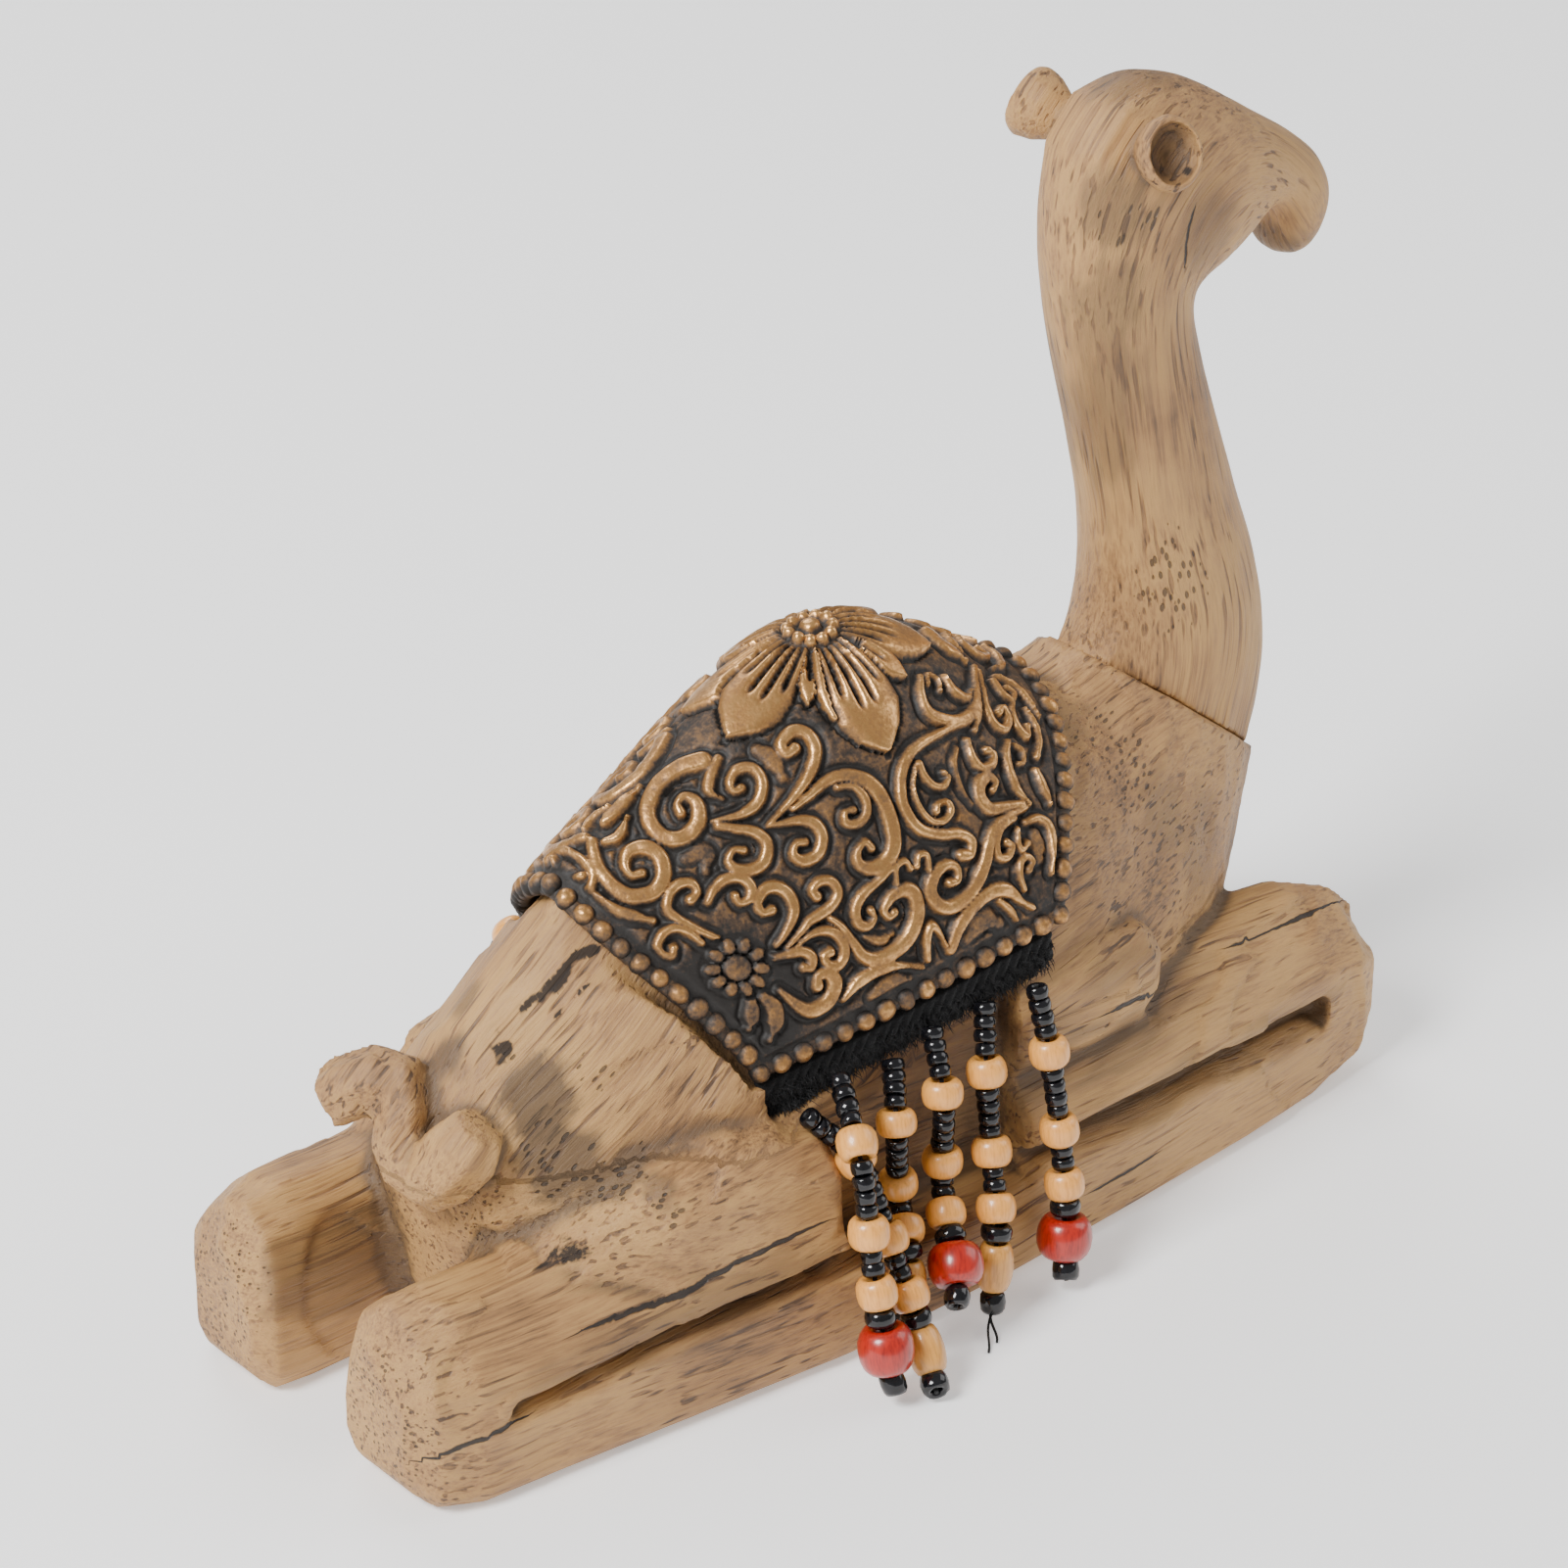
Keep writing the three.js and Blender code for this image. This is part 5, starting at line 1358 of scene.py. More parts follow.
@dataclass
class Carving:
    """A carved piece: the CAD shape with softened edges, gouge facets and marks for its finish."""

    node: str
    name: str
    voxel: float
    cracks: tuple[Crack, ...] = ()
    pitted: tuple[Patch, ...] = ()
    burnt: tuple[Patch, ...] = ()
    chips: tuple[Crack, ...] = ()
    # Patches of weathering, marked together with the painted shade of the hollows.
    weathered_and_shaded: tuple[Patch, ...] = ()
    seed: int = 1
    facet_size: float = 15.0
    facet_depth: float = 0.55

    def build(self, material: Material) -> Piece:
        """Carves the piece and dresses it.

        Args:
            material: its finish.

        Returns:
            The finished piece.
        """
        made = self.blank()
        self.carve(made)
        places = points_of(made)
        mark(made, "grain", self.grain(places))
        self.mark_cracks(made, places)
        mark(made, "pitted", self.patches(places, self.pitted, 0.25))
        mark(made, "burn", np.maximum(self.patches(places, self.burnt, 0.55), self.chipped(places)))
        # Painted shade: darker in the broad hollows, joined with the patches of weathering into one mark.
        hollow = hollowness(made, 60)
        shade_and_weather = smooth(0.02, 1.0, hollow) * 0.9 + self.patches(places, self.weathered_and_shaded, 0.3)
        mark(made, "shade_and_weather", np.clip(shade_and_weather, 0, 1))
        return finish_piece(made, material, [self.node], 60)

    def blank(self) -> Piece:
        """Even mesh over the CAD shape, its edges softened."""
        made = frame["nodes"][self.node].copy()
        made.data = made.data.copy()
        made.name = self.name
        for key in list(made.keys()):
            del made[key]
        made.parent = None
        bpy.context.scene.collection.objects.link(made)
        tidy_surface(made)
        applied(made, "REMESH", mode="VOXEL", voxel_size=self.voxel * MM, use_smooth_shade=True)
        applied(made, "SMOOTH", factor=0.5, iterations=1)
        places = points_of(made)
        share = self.softness(places)[:, None]
        if share.any():
            place_points(made, lerp(places, neighbour_mean(made, places, 90), share))
        return made

    def softness(self, places: np.ndarray) -> np.ndarray:
        """Share by which each place is rounded off; none unless the piece says so."""
        return np.zeros(len(places))

    def carve(self, piece: Piece) -> None:
        """Knife facets, slow waves along the grain and the piece's own ledges."""
        places, normals = points_of(piece), normals_of(piece)
        soft = neighbour_mean(piece, normals, 12)
        soft /= np.linalg.norm(soft, axis=1, keepdims=True)
        grain = self.grain(places)
        waves = noise_at(grain, (0.03, 0.16, 0.16), self.seed + 3)
        fine = noise_at(grain, (0.1, 0.55, 0.55), self.seed + 5)
        depth = self.facets(places, soft) + 0.14 * waves + 0.07 * fine + self.ledges(places)
        depth *= smooth(0.3, 3.0, places[:, 2])
        depth = np.where(places[:, 2] < 3.0, np.minimum(depth, 0), depth)
        place_points(piece, kept_inside(places + soft * depth[:, None]))

    def facets(self, places: np.ndarray, normals: np.ndarray) -> np.ndarray:
        """How far flat cuts of a knife lie over or under the surface, in millimetres.

        Args:
            places: points of the piece.
            normals: their softened normals.

        Returns:
            Distance to the nearest cut's plane, held within the cut's depth.
        """
        rng = random.Random(self.seed)
        seeds: list[int] = []
        for _ in range(4000):
            pick = rng.randrange(len(places))
            apart = np.linalg.norm(places[seeds] - places[pick], axis=1)
            if not seeds or apart.min() > self.facet_size * rng.uniform(0.8, 1.5):
                seeds.append(pick)
        tree = kdtree.KDTree(len(seeds))
        for i, pick in enumerate(seeds):
            tree.insert(places[pick].tolist(), i)
        tree.balance()
        middles, facing = places[seeds], normals[seeds]
        cut = np.full(len(places), self.facet_depth)
        near = np.array([[found[1] for found in tree.find_n(p, 7)] for p in places.tolist()])
        for pick in near.T:
            offset = places - middles[pick]
            facing_alike = (normals * facing[pick]).sum(axis=1)
            away = np.linalg.norm(offset, axis=1) / self.facet_size
            held = smooth(0.5, 0.85, facing_alike) * (1 - smooth(0.9, 1.4, away))
            off = -(offset * facing[pick]).sum(axis=1) / np.maximum(facing_alike, 0.6)
            cut = np.minimum(cut, lerp(self.facet_depth, off, held))
        return np.clip(cut, -self.facet_depth, 0.3 * self.facet_depth)

    def ledges(self, places: np.ndarray) -> np.ndarray:
        """Steps that a piece has of its own, in millimetres; none unless it says so."""
        return np.zeros(len(places))

    def grain(self, places: np.ndarray) -> np.ndarray:
        """Place along and across the grain, in millimetres; the body's grain runs lengthwise."""
        bend = 2.0 * noise_at(places, (0.03, 0.03, 0.03), self.seed + 20)
        return np.column_stack([places[:, 0], places[:, 1] + bend, places[:, 2] + bend])

    def mark_cracks(self, piece: Piece, places: np.ndarray) -> None:
        """Marks the signed distance to the nearest crack, and the crack's half width there."""
        normals = normals_of(piece)
        best = np.full(len(places), 1e9)
        line = np.full(len(places), CRACK_REACH)
        width = np.zeros(len(places))
        for crack in self.cracks:
            spots = curve_through(placed(crack.spots), 16 * len(crack.spots))
            for i in range(len(spots) - 1):
                a, b = spots[i], spots[i + 1]
                run = b - a
                t = np.clip(((places - a) @ run) / (run @ run), 0, 1)
                offset = places - (a + t[:, None] * run)
                away = np.linalg.norm(offset, axis=1)
                side = np.cross(normals, run / np.linalg.norm(run))
                closer = away < best
                best = np.where(closer, away, best)
                sign = np.sign((offset * side).sum(axis=1))
                line = np.where(closer, sign * np.minimum(away, CRACK_REACH), line)
                share = (i + t) / (len(spots) - 1)
                taper = np.clip(np.sin(np.pi * np.clip(share, 0, 1)) * 1.6, 0, 1)
                width = np.where(closer, crack.half_width * taper, width)
        mark(piece, "crack", line)
        mark(piece, "crack_width", np.where(best < CRACK_REACH, width, 0.0))

    def chipped(self, places: np.ndarray) -> np.ndarray:
        """Where the paint is chipped down to black along lines, from 0 to 1."""
        made = np.zeros(len(places))
        ragged = 0.5 * noise_at(self.grain(places), (0.25, 0.8, 0.8), 10)
        for chip in self.chips:
            spots = curve_through(placed(chip.spots), 12 * len(chip.spots))
            away = np.linalg.norm(places[:, None, :] - spots[None, :, :], axis=2).min(axis=1)
            made = np.maximum(made, 1 - smooth(0.5, 1.1, away / chip.half_width + ragged))
        return made

    def patches(self, places: np.ndarray, patches: Sequence[Patch], raggedness: float) -> np.ndarray:
        """Strongest mark of all patches at each place.

        Args:
            places: points of the piece.
            patches: the patches of one mark.
            raggedness: how far their outlines run out along the grain.

        Returns:
            The mark at each place, from 0 to 1.
        """
        made = np.zeros(len(places))
        grain = self.grain(places)
        broad, fine = noise_at(grain, (0.07, 0.4, 0.4), 8), noise_at(grain, (0.2, 0.9, 0.9), 9)
        ragged = raggedness * (broad + 0.6 * fine)
        for patch in patches:
            away = np.linalg.norm((places - placed([patch.at])[0]) / np.array(patch.reach), axis=1)
            made = np.maximum(made, patch.strength * (1 - smooth(0.45, 1.0, away + ragged)))
        return made


@dataclass
class BodyCarving(Carving):
    """The body: its grain runs lengthwise, level in the legs and rising over rump and shoulders."""

    leg_top: float = 47.0
    # Rise of the grain in radians behind and before the blanket's middle.
    rump_rise: float = 0.6
    shoulder_rise: float = 0.2

    def grain(self, places: np.ndarray) -> np.ndarray:
        """Place along and across the grain, in millimetres."""
        bend = 2.0 * noise_at(places, (0.03, 0.03, 0.03), self.seed + 20)
        x, y, z = places.T
        rise = np.where(x < -10.0, self.rump_rise, self.shoulder_rise)
        rise = np.where(z > self.leg_top + bend, rise, 0.0)
        along = x * np.cos(rise) + z * np.sin(rise)
        up = z * np.cos(rise) - x * np.sin(rise)
        return np.column_stack([along, y + bend, up + bend])


@dataclass
class NeckCarving(Carving):
    """Neck and head: the grain follows the bent neck and turns into the muzzle."""

    # Middle line of the neck from the collar to the muzzle: x and z in millimetres.
    middle_line: tuple[tuple[float, float], ...] = (
        (84.0, 74.0), (88.0, 95.0), (82.0, 120.0), (77.0, 145.0), (74.0, 165.0), (80.0, 182.0),
        (96.0, 187.0), (110.0, 180.0), (119.0, 168.0),
    )

    def softness(self, places: np.ndarray) -> np.ndarray:
        """The neck and head are sanded round, but not the ears or the edge at the foot."""
        ear = placed([(68.5, 12.0, 193.5)])[0]
        folded = np.column_stack([places[:, 0], np.abs(places[:, 1]), places[:, 2]])
        away = np.linalg.norm(folded - ear, axis=1)
        foot = (places[:, 0] - SHIFT_X - 61.8) * 0.612 + (places[:, 2] - 95.8) * 0.791
        return smooth(8.0, 13.0, away) * smooth(1.5, 7.0, foot)

    def ledges(self, places: np.ndarray) -> np.ndarray:
        """The foot of the neck reaches down to the collar inside the seam, so that no light shows."""
        start, end = np.array([61.8 + SHIFT_X, 0, 95.8]), np.array([108.6 + SHIFT_X, 0, 59.6])
        run = (end - start) / np.linalg.norm(end - start)
        offset = places - (start + end) / 2
        along = offset @ run
        up = np.array([-run[2], 0.0, run[0]])
        over = offset @ up
        inside = (along / 27.5) ** 2 + (places[:, 1] / 14.0) ** 2
        return np.where((np.abs(over) < 0.6) & (inside < 0.9), 0.7, 0.0)

    def grain(self, places: np.ndarray) -> np.ndarray:
        """Place along the middle line, and across it, in millimetres."""
        spots = curve_through(np.array(self.middle_line) + np.array([SHIFT_X, 0]), 160)
        steps = travelled_along(spots)
        run = np.gradient(spots, axis=0)
        run /= np.linalg.norm(run, axis=1, keepdims=True)
        flat = places[:, [0, 2]]
        away = ((flat[:, None, :] - spots[None, :, :]) ** 2).sum(axis=2)
        weight = np.exp(-(away - away.min(axis=1, keepdims=True)) / 60.0)
        weight /= weight.sum(axis=1, keepdims=True)
        middle, direction = weight @ spots, weight @ run
        offset = flat - middle
        across = offset[:, 0] * direction[:, 1] - offset[:, 1] * direction[:, 0]
        along = weight @ steps + (offset * direction).sum(axis=1)
        bend = 1.2 * noise_at(places, (0.03, 0.03, 0.03), self.seed + 20)
        return np.column_stack([along, places[:, 1] + bend, across + bend])


# Beads, strands and braid


class BeadKind(Enum):
    """Kinds of bead: radius and length in millimetres, and how square the barrel is."""

    SEED = (2.08, 2.6, 0.62)
    PALE = (3.72, 5.9, 0.85)
    DISC = (2.85, 3.4, 0.85)
    RED = (5.12, 8.7, 0.98)
    OVAL = (3.45, 10.0, 1.05)
    END = (2.5, 4.4, 0.85)

    @property
    def radius(self) -> float:
        """Radius in millimetres."""
        return self.value[0]

    @property
    def length(self) -> float:
        """Length along the bore in millimetres."""
        return self.value[1]

    @property
    def squareness(self) -> float:
        """Below 1 the barrel is squarer than an ellipse, above 1 it is more pointed."""
        return self.value[2]


# A bead with its middle, direction and stretch.
PlacedBead = tuple[BeadKind, np.ndarray, np.ndarray, float]


def turned_bead(kind: BeadKind, bore: float, around: int, over: int) -> Piece:
    """Model of one bored bead along z, at the origin.

    Args:
        kind: which bead.
        bore: radius of the hole in millimetres.
        around: faces around the bead.
        over: faces around its wall.

    Returns:
        The bead as an object.
    """
    choose_none()
    wall = (kind.radius - bore) / 2
    bpy.ops.mesh.primitive_torus_add(
        major_segments=around,
        minor_segments=over,
        major_radius=(kind.radius + bore) / 2 * MM,
        minor_radius=wall * MM,
    )
    made = bpy.context.object
    bpy.ops.object.mode_set(mode="EDIT")
    bpy.ops.mesh.select_all(action="SELECT")
    bpy.ops.transform.resize(value=(1, 1, kind.length / 2 / wall))
    bpy.ops.object.mode_set(mode="OBJECT")
    places = points_of(made)
    half = kind.length / 2
    share = places[:, 2] / half
    places[:, 2] = np.sign(share) * np.abs(share) ** kind.squareness * half
    place_points(made, places)
    return made


@dataclass
class BeadBox:
    """Models of the beads, each made once and then copied."""

    bore: float = 0.75
    models: dict[BeadKind, Piece] = field(default_factory=dict)

    def model(self, kind: BeadKind) -> Piece:
        """The model of a kind of bead."""
        if kind not in self.models:
            small = kind in (BeadKind.SEED, BeadKind.END)
            self.models[kind] = turned_bead(kind, self.bore, 16 if small else 24, 10 if small else 16)
        return self.models[kind]

    def empty(self) -> None:
        """Removes the models once all copies are made."""
        for made in self.models.values():
            bpy.data.objects.remove(made)
        self.models.clear()


@dataclass
class Strand:
    """One tassel: beads threaded along a line, with an accent bead near its end."""

    number: int
    side: Side
    accent: BeadKind
    line: tuple[tuple[float, float, float], ...]
    # Lengths in millimetres of the loose ends of thread below the last bead.
    loose_ends: tuple[float, ...] = ()

    @property
    def label(self) -> str:
        """Side and number, as in the names of the nodes."""
        return f"{self.side.value}_{self.number}"

    def pattern(self) -> list[BeadKind]:
        """Beads from the braid down."""
        seed, pale = BeadKind.SEED, BeadKind.PALE
        upper = [seed] * 4 + [pale] + [seed] * 4 + [pale] + [seed] * 2 + [pale, BeadKind.DISC, self.accent]
        return upper + [BeadKind.END]

    def path(self) -> tuple[np.ndarray, np.ndarray]:
        """Places along the strand with the distance travelled."""
        knots = placed(self.line) * np.array([1, self.side.sign, 1])
        spots = centripetal(knots, 60)
        return spots, travelled_along(spots)

    def at(self, spots: np.ndarray, travelled: np.ndarray, share: float) -> np.ndarray:
        """Place at a share of the strand's length."""
        reach = share * travelled[-1]
        return np.array([np.interp(reach, travelled, spots[:, k]) for k in range(3)])

    def build(self, box: BeadBox, finishes: dict[str, Material]) -> list[Piece]:
        """Threads the beads and dresses them.

        Args:
            box: models of the beads.
            finishes: materials by name.

        Returns:
            The strand's pieces.
        """
        rng = random.Random(self.number * 10 + (1 if self.side is Side.LEFT else 0))
        spots, travelled = self.path()
        beads = self.pattern()
        total = sum(b.length for b in beads)
        groups: dict[str, list[PlacedBead]] = {"glass": [], "pale": [], "accent": []}
        done = 0.0
        for bead in beads:
            a = self.at(spots, travelled, done / total)
            done += bead.length
            b = self.at(spots, travelled, min(done / total, 1))
            along = (b - a) / np.linalg.norm(b - a)
            stretch = np.linalg.norm(b - a) / bead.length
            name = "accent" if bead is self.accent else "pale" if bead is BeadKind.PALE else "glass"
            lean = np.array([rng.uniform(-1, 1) for _ in range(3)]) * (0.13 if name == "glass" else 0.06)
            along = along + lean
            groups[name].append((bead, (a + b) / 2, along / np.linalg.norm(along), stretch * 0.97))
        strand, accent = f"bead_strand_{self.label}", f"accent_bead_{self.label}"
        made = [
            self.threaded(box, f"{strand}_glass", groups["glass"], rng, 0.06),
            self.threaded(box, f"{strand}_pale", groups["pale"], rng, 0.02),
            self.threaded(box, f"{accent}_turned", groups["accent"], rng, 0.015),
            self.thread(spots),
        ]
        finish_piece(made[0], finishes["glass"], [strand], ROUND_ANGLE)
        finish_piece(made[1], finishes["pale"], [strand], ROUND_ANGLE)
        red = self.accent is BeadKind.RED
        finish, slot = ("red", Slot.RED) if red else ("honey", Slot.HONEY)
        finish_piece(made[2], finishes[finish], [accent], ROUND_ANGLE)
        finish_piece(made[3], finishes["braid"], [strand], ROUND_ANGLE)
        return made

    def threaded(
        self,
        box: BeadBox,
        name: str,
        beads: Sequence[PlacedBead],
        rng: random.Random,
        unevenness: float,
    ) -> Piece:
        """Copies of the beads' models, each turned on the thread, as one mesh.

        Args:
            box: models of the beads.
            name: name of the new object.
            beads: kind, middle, direction and stretch of each.
            rng: seeded source of the small differences.
            unevenness: share by which a bead's size differs.

        Returns:
            The new object.
        """
        points: list[np.ndarray] = []
        grains: list[np.ndarray] = []
        faces: list[Sequence[int]] = []
        count = 0
        for kind, middle, along, stretch in beads:
            model = box.model(kind)
            local = points_of(model)
            width, depth = (1 + rng.uniform(-1, 1) * unevenness for _ in range(2))
            size = np.array([width, depth, stretch])
            turn = rng.uniform(0, 2 * math.pi)
            shift = np.array([rng.uniform(-50, 50) for _ in range(3)])
            grains.append(local + shift)
            local = local * size
            wobble = noise_at(local + shift, (0.35, 0.35, 0.35), 5)[:, None]
            local = local * (1 + unevenness * 1.2 * wobble)
            spin = Matrix.Rotation(turn, 3, "Z")
            aim = Vector((0, 0, 1)).rotation_difference(Vector(along)).to_matrix()
            points.append(local @ np.array((aim @ spin).transposed()) + middle)
            faces.extend([[count + k for k in p.vertices] for p in model.data.polygons])
            count += len(local)
        made = piece_from(name, kept_inside(np.vstack(points)), faces)
        mark(made, "grain", np.vstack(grains))
        return made

    def thread(self, spots: np.ndarray) -> Piece:
        """Black thread through the beads' bores, with its loose ends on the floor."""
        tube = swept(f"thread_{self.label}", spots[::12], 0.42, 6)
        for number, length in enumerate(self.loose_ends):
            share = np.linspace(0, 1, 8)[:, None]
            away = np.array([-0.75 + 0.3 * number, 0.66 * self.side.sign, 0.0])
            end = spots[-1] + away * length * share
            end[:, 1] += 0.5 * np.sin(share[:, 0] * 5 + number)
            end[:, 2] = lerp(spots[-1][2], 0.35, np.sqrt(share[:, 0]))
            loose = swept("loose_end", end, 0.26, 6)
            choose(tube)
            loose.select_set(True)
            bpy.ops.object.join()
        return tube


def centripetal(knots: np.ndarray, steps: int) -> np.ndarray:
    """Centripetal curve through knots, with so many steps per span."""
    padded = np.vstack([2 * knots[0] - knots[1], knots, 2 * knots[-1] - knots[-2]])
    made: list[np.ndarray] = []
    for i in range(len(knots) - 1):
        p0, p1, p2, p3 = padded[i : i + 4]
        d0 = np.linalg.norm(p1 - p0) ** 0.5
        d1 = np.linalg.norm(p2 - p1) ** 0.5
        d2 = np.linalg.norm(p3 - p2) ** 0.5
        m1 = ((p1 - p0) / d0 - (p2 - p0) / (d0 + d1) + (p2 - p1) / d1) * d1
        m2 = ((p2 - p1) / d1 - (p3 - p1) / (d1 + d2) + (p3 - p2) / d2) * d1
        t = np.linspace(0, 1, steps, endpoint=False)[:, None]
        made.append(
            (2 * t**3 - 3 * t**2 + 1) * p1 + (t**3 - 2 * t**2 + t) * m1 + (-2 * t**3 + 3 * t**2) * p2
            + (t**3 - t**2) * m2
        )
    made.append(knots[-1:])
    return np.vstack(made)


def swept(name: str, spots: np.ndarray, radius: float, sides: int) -> Piece:
    """Closed tube along places.

    Args:
        name: name of the object.
        spots: places of its middle line in millimetres.
        radius: its radius in millimetres.
        sides: faces around it.

    Returns:
        The tube as an object.
    """
    points: list[np.ndarray] = []
    run = np.gradient(spots, axis=0)
    run /= np.linalg.norm(run, axis=1, keepdims=True)
    across = np.cross(run, np.array([1.0, 0.1, 0.2]))
    across /= np.linalg.norm(across, axis=1, keepdims=True)
    other = np.cross(run, across)
    for i, spot in enumerate(spots):
        for k in range(sides):
            angle = 2 * math.pi * k / sides
            points.append(spot + (across[i] * math.cos(angle) + other[i] * math.sin(angle)) * radius)
    faces: list[Sequence[int]] = []
    for i in range(len(spots) - 1):
        for k in range(sides):
            a, b = i * sides + k, i * sides + (k + 1) % sides
            faces.append([a, b, b + sides, a + sides])
    faces.append(list(range(sides))[::-1])
    faces.append([(len(spots) - 1) * sides + k for k in range(sides)])
    made = piece_from(name, np.array(points), faces)
    tidy_surface(made, 0.001)
    return made


# Accent bead and line of each strand of the left side from the braid down, in millimetres.
STRANDS: tuple[tuple[BeadKind, tuple[tuple[float, float, float], ...]], ...] = (
    (BeadKind.OVAL, ((-34.8, 37.8, 49.6), (-27.5, 43.9, 39.6), (-26.5, 51, 25.5), (-26, 56, 16.3),
                     (-25.3, 60, 5.8), (-28.7, 66, 3))),
    (BeadKind.RED, ((-27.3, 38, 54.6), (-32.7, 50, 45.2), (-33.8, 54, 29.3), (-34.4, 57, 19.4),
                     (-34.4, 59.5, 8.6), (-34.2, 61.5, 3))),
    (BeadKind.OVAL, ((-13.7, 37.2, 52.2), (-18, 43, 43), (-16.2, 41.8, 27.2), (-19.5, 47.4, 23.4),
                     (-22, 50.8, 12.5), (-22.4, 51.3, 7.2))),
    (BeadKind.RED, ((-5.6, 38.3, 56.2), (-7.8, 44, 45.6), (-7, 43.2, 28.6), (-10.4, 48, 23),
                     (-13.6, 55, 16.4), (-17.4, 58.4, 12))),
    (BeadKind.OVAL, ((5.7, 39.9, 57.6), (2.8, 43.8, 46.1), (2.1, 46.5, 29.6), (-0.7, 51, 20.5),
                     (-3, 53, 8.8), (-4.3, 54, 3))),
    (BeadKind.RED, ((14.9, 43.4, 59), (15.2, 47.2, 46), (16, 50, 27.5), (15.4, 52, 17.5),
                     (14.2, 53.2, 7.6), (12.9, 55.5, 3))),
)


# Loose ends of thread on the floor, by the strand's number: their lengths in millimetres.
LOOSE_ENDS: dict[int, tuple[float, ...]] = {5: (8.5, 7.0)}


@dataclass
class FringeBraid:
    """Black chenille braid glued under a lower rim: a soft strip with loops and loose fibres."""

    side: Side
    surface: BlanketSurface
    thickness: float = 1.8
    height: float = 6.5
    drop: float = 2.6
    inset: float = 3.1
    columns: int = 150
    rows: int = 14
    edge_length: float = 64.0
    hair_radius: float = 0.11
    # Share of the fibres that hang in a tuft at the rear end.
    tuft: float = 0.14
    hairs: int = 1500

    def face(self, t: np.ndarray, share: np.ndarray, depth: np.ndarray) -> np.ndarray:
        """Places of the strip: share from the top, depth from its outer face inwards."""
        foot = self.surface.points(t, np.full_like(t, -1.0))
        outer = -foot[..., 1] - self.inset + self.thickness
        x = foot[..., 0]
        z = foot[..., 2] - self.drop - share * self.height
        return np.stack([x, self.side.sign * (outer - depth), z], axis=-1)

    def build(self, material: Material) -> list[Piece]:
        """Strip and loose fibres, dressed."""
        node = f"fringe_tape_{self.side.value}"
        strip = self.strip()
        fuzz = self.fuzz()
        finish_piece(strip, material, [node], ROUND_ANGLE)
        finish_piece(fuzz, material, [node], ROUND_ANGLE)
        return [strip, fuzz]

    def strip(self) -> Piece:
        """Braided strip with a wavy lower edge."""
        t = np.linspace(0.02, 0.97, self.columns + 1)
        ring = np.linspace(0, 1, self.rows + 1)
        grid_t, share = np.meshgrid(t, ring, indexing="ij")
        length = grid_t * self.edge_length
        yarn = np.abs(np.sin(length * 1.35 + np.where(share < 0.5, 1, -1) * share * 5.0))
        wave = 0.08 * np.sin(length * 1.1) + 0.06 * np.sin(length * 2.7 + 1) + 0.05 * np.sin(length * 6.1)
        low = share * (1 + wave * share)
        bulge = 0.9 * yarn * np.sin(np.pi * np.clip(share * 0.96 + 0.02, 0, 1)) ** 0.5
        outer = self.face(grid_t, low, -bulge)
        inner = self.face(grid_t, low, np.full_like(low, self.thickness * 0.95))
        rows, columns = outer.shape[:2]
        ids = np.arange(rows * columns).reshape(rows, columns)
        quads = grid_faces(ids)
        count = rows * columns
        faces = quads.tolist() + (quads[:, ::-1] + count).tolist()
        border = [*ids[0, :-1], *ids[:-1, -1], *ids[-1, :0:-1], *ids[:0:-1, 0]]
        for a, b in zip(border, border[1:] + border[:1]):
            faces.append([int(a), int(b), int(b) + count, int(a) + count])
        points = np.vstack([outer.reshape(-1, 3), inner.reshape(-1, 3)])
        made = piece_from(f"fringe_braid_{self.side.value}", points, faces)
        tidy_surface(made)
        return made

    def fuzz(self) -> Piece:
        """Loose fibres standing off the strip, thin and bent."""
        rng = random.Random(5 if self.side is Side.RIGHT else 6)
        points: list[np.ndarray] = []
        faces: list[Sequence[int]] = []
        for _ in range(self.hairs):
            t, share = rng.uniform(0.02, 0.97), rng.uniform(0.1, 1.0) ** 0.7
            if rng.random() < self.tuft:
                t, share = rng.uniform(0.02, 0.16), rng.uniform(0.75, 1.0)
            root = self.face(np.array([t]), np.array([share]), np.array([-0.3]))[0]
            lean = np.array(
                [rng.uniform(-1, 1), self.side.sign * rng.uniform(0.1, 0.9), rng.uniform(-1.5, 0.1)]
            )
            lean /= np.linalg.norm(lean)
            length = rng.uniform(0.8, 3.2) * (1.4 if share > 0.75 and t < 0.16 else 1.0)
            bend = np.array([rng.uniform(-1, 1), rng.uniform(-0.4, 0.4), rng.uniform(-1, 0.4)]) * 0.5
            middle = root + lean * length * 0.5
            tip = root + lean * length + bend
            across = np.cross(lean, np.array([0.3, 0.2, 1.0]))
            across *= self.hair_radius / np.linalg.norm(across)
            other = np.cross(lean, across)
            start = len(points)
            for centre, size in ((root, 1.0), (middle, 0.8)):
                for k in range(3):
                    angle = 2 * math.pi * k / 3
                    points.append(centre + (across * math.cos(angle) + other * math.sin(angle)) * size)
            points.append(tip)
            faces.append([start + 2, start + 1, start])
            for k in range(3):
                nxt = (k + 1) % 3
                faces.append([start + k, start + nxt, start + 3 + nxt, start + 3 + k])
                faces.append([start + 3 + k, start + 3 + nxt, start + 6])
        made = piece_from(f"braid_fibres_{self.side.value}", np.array(points), faces)
        tidy_surface(made, 0.0005)
        return made


# Stage


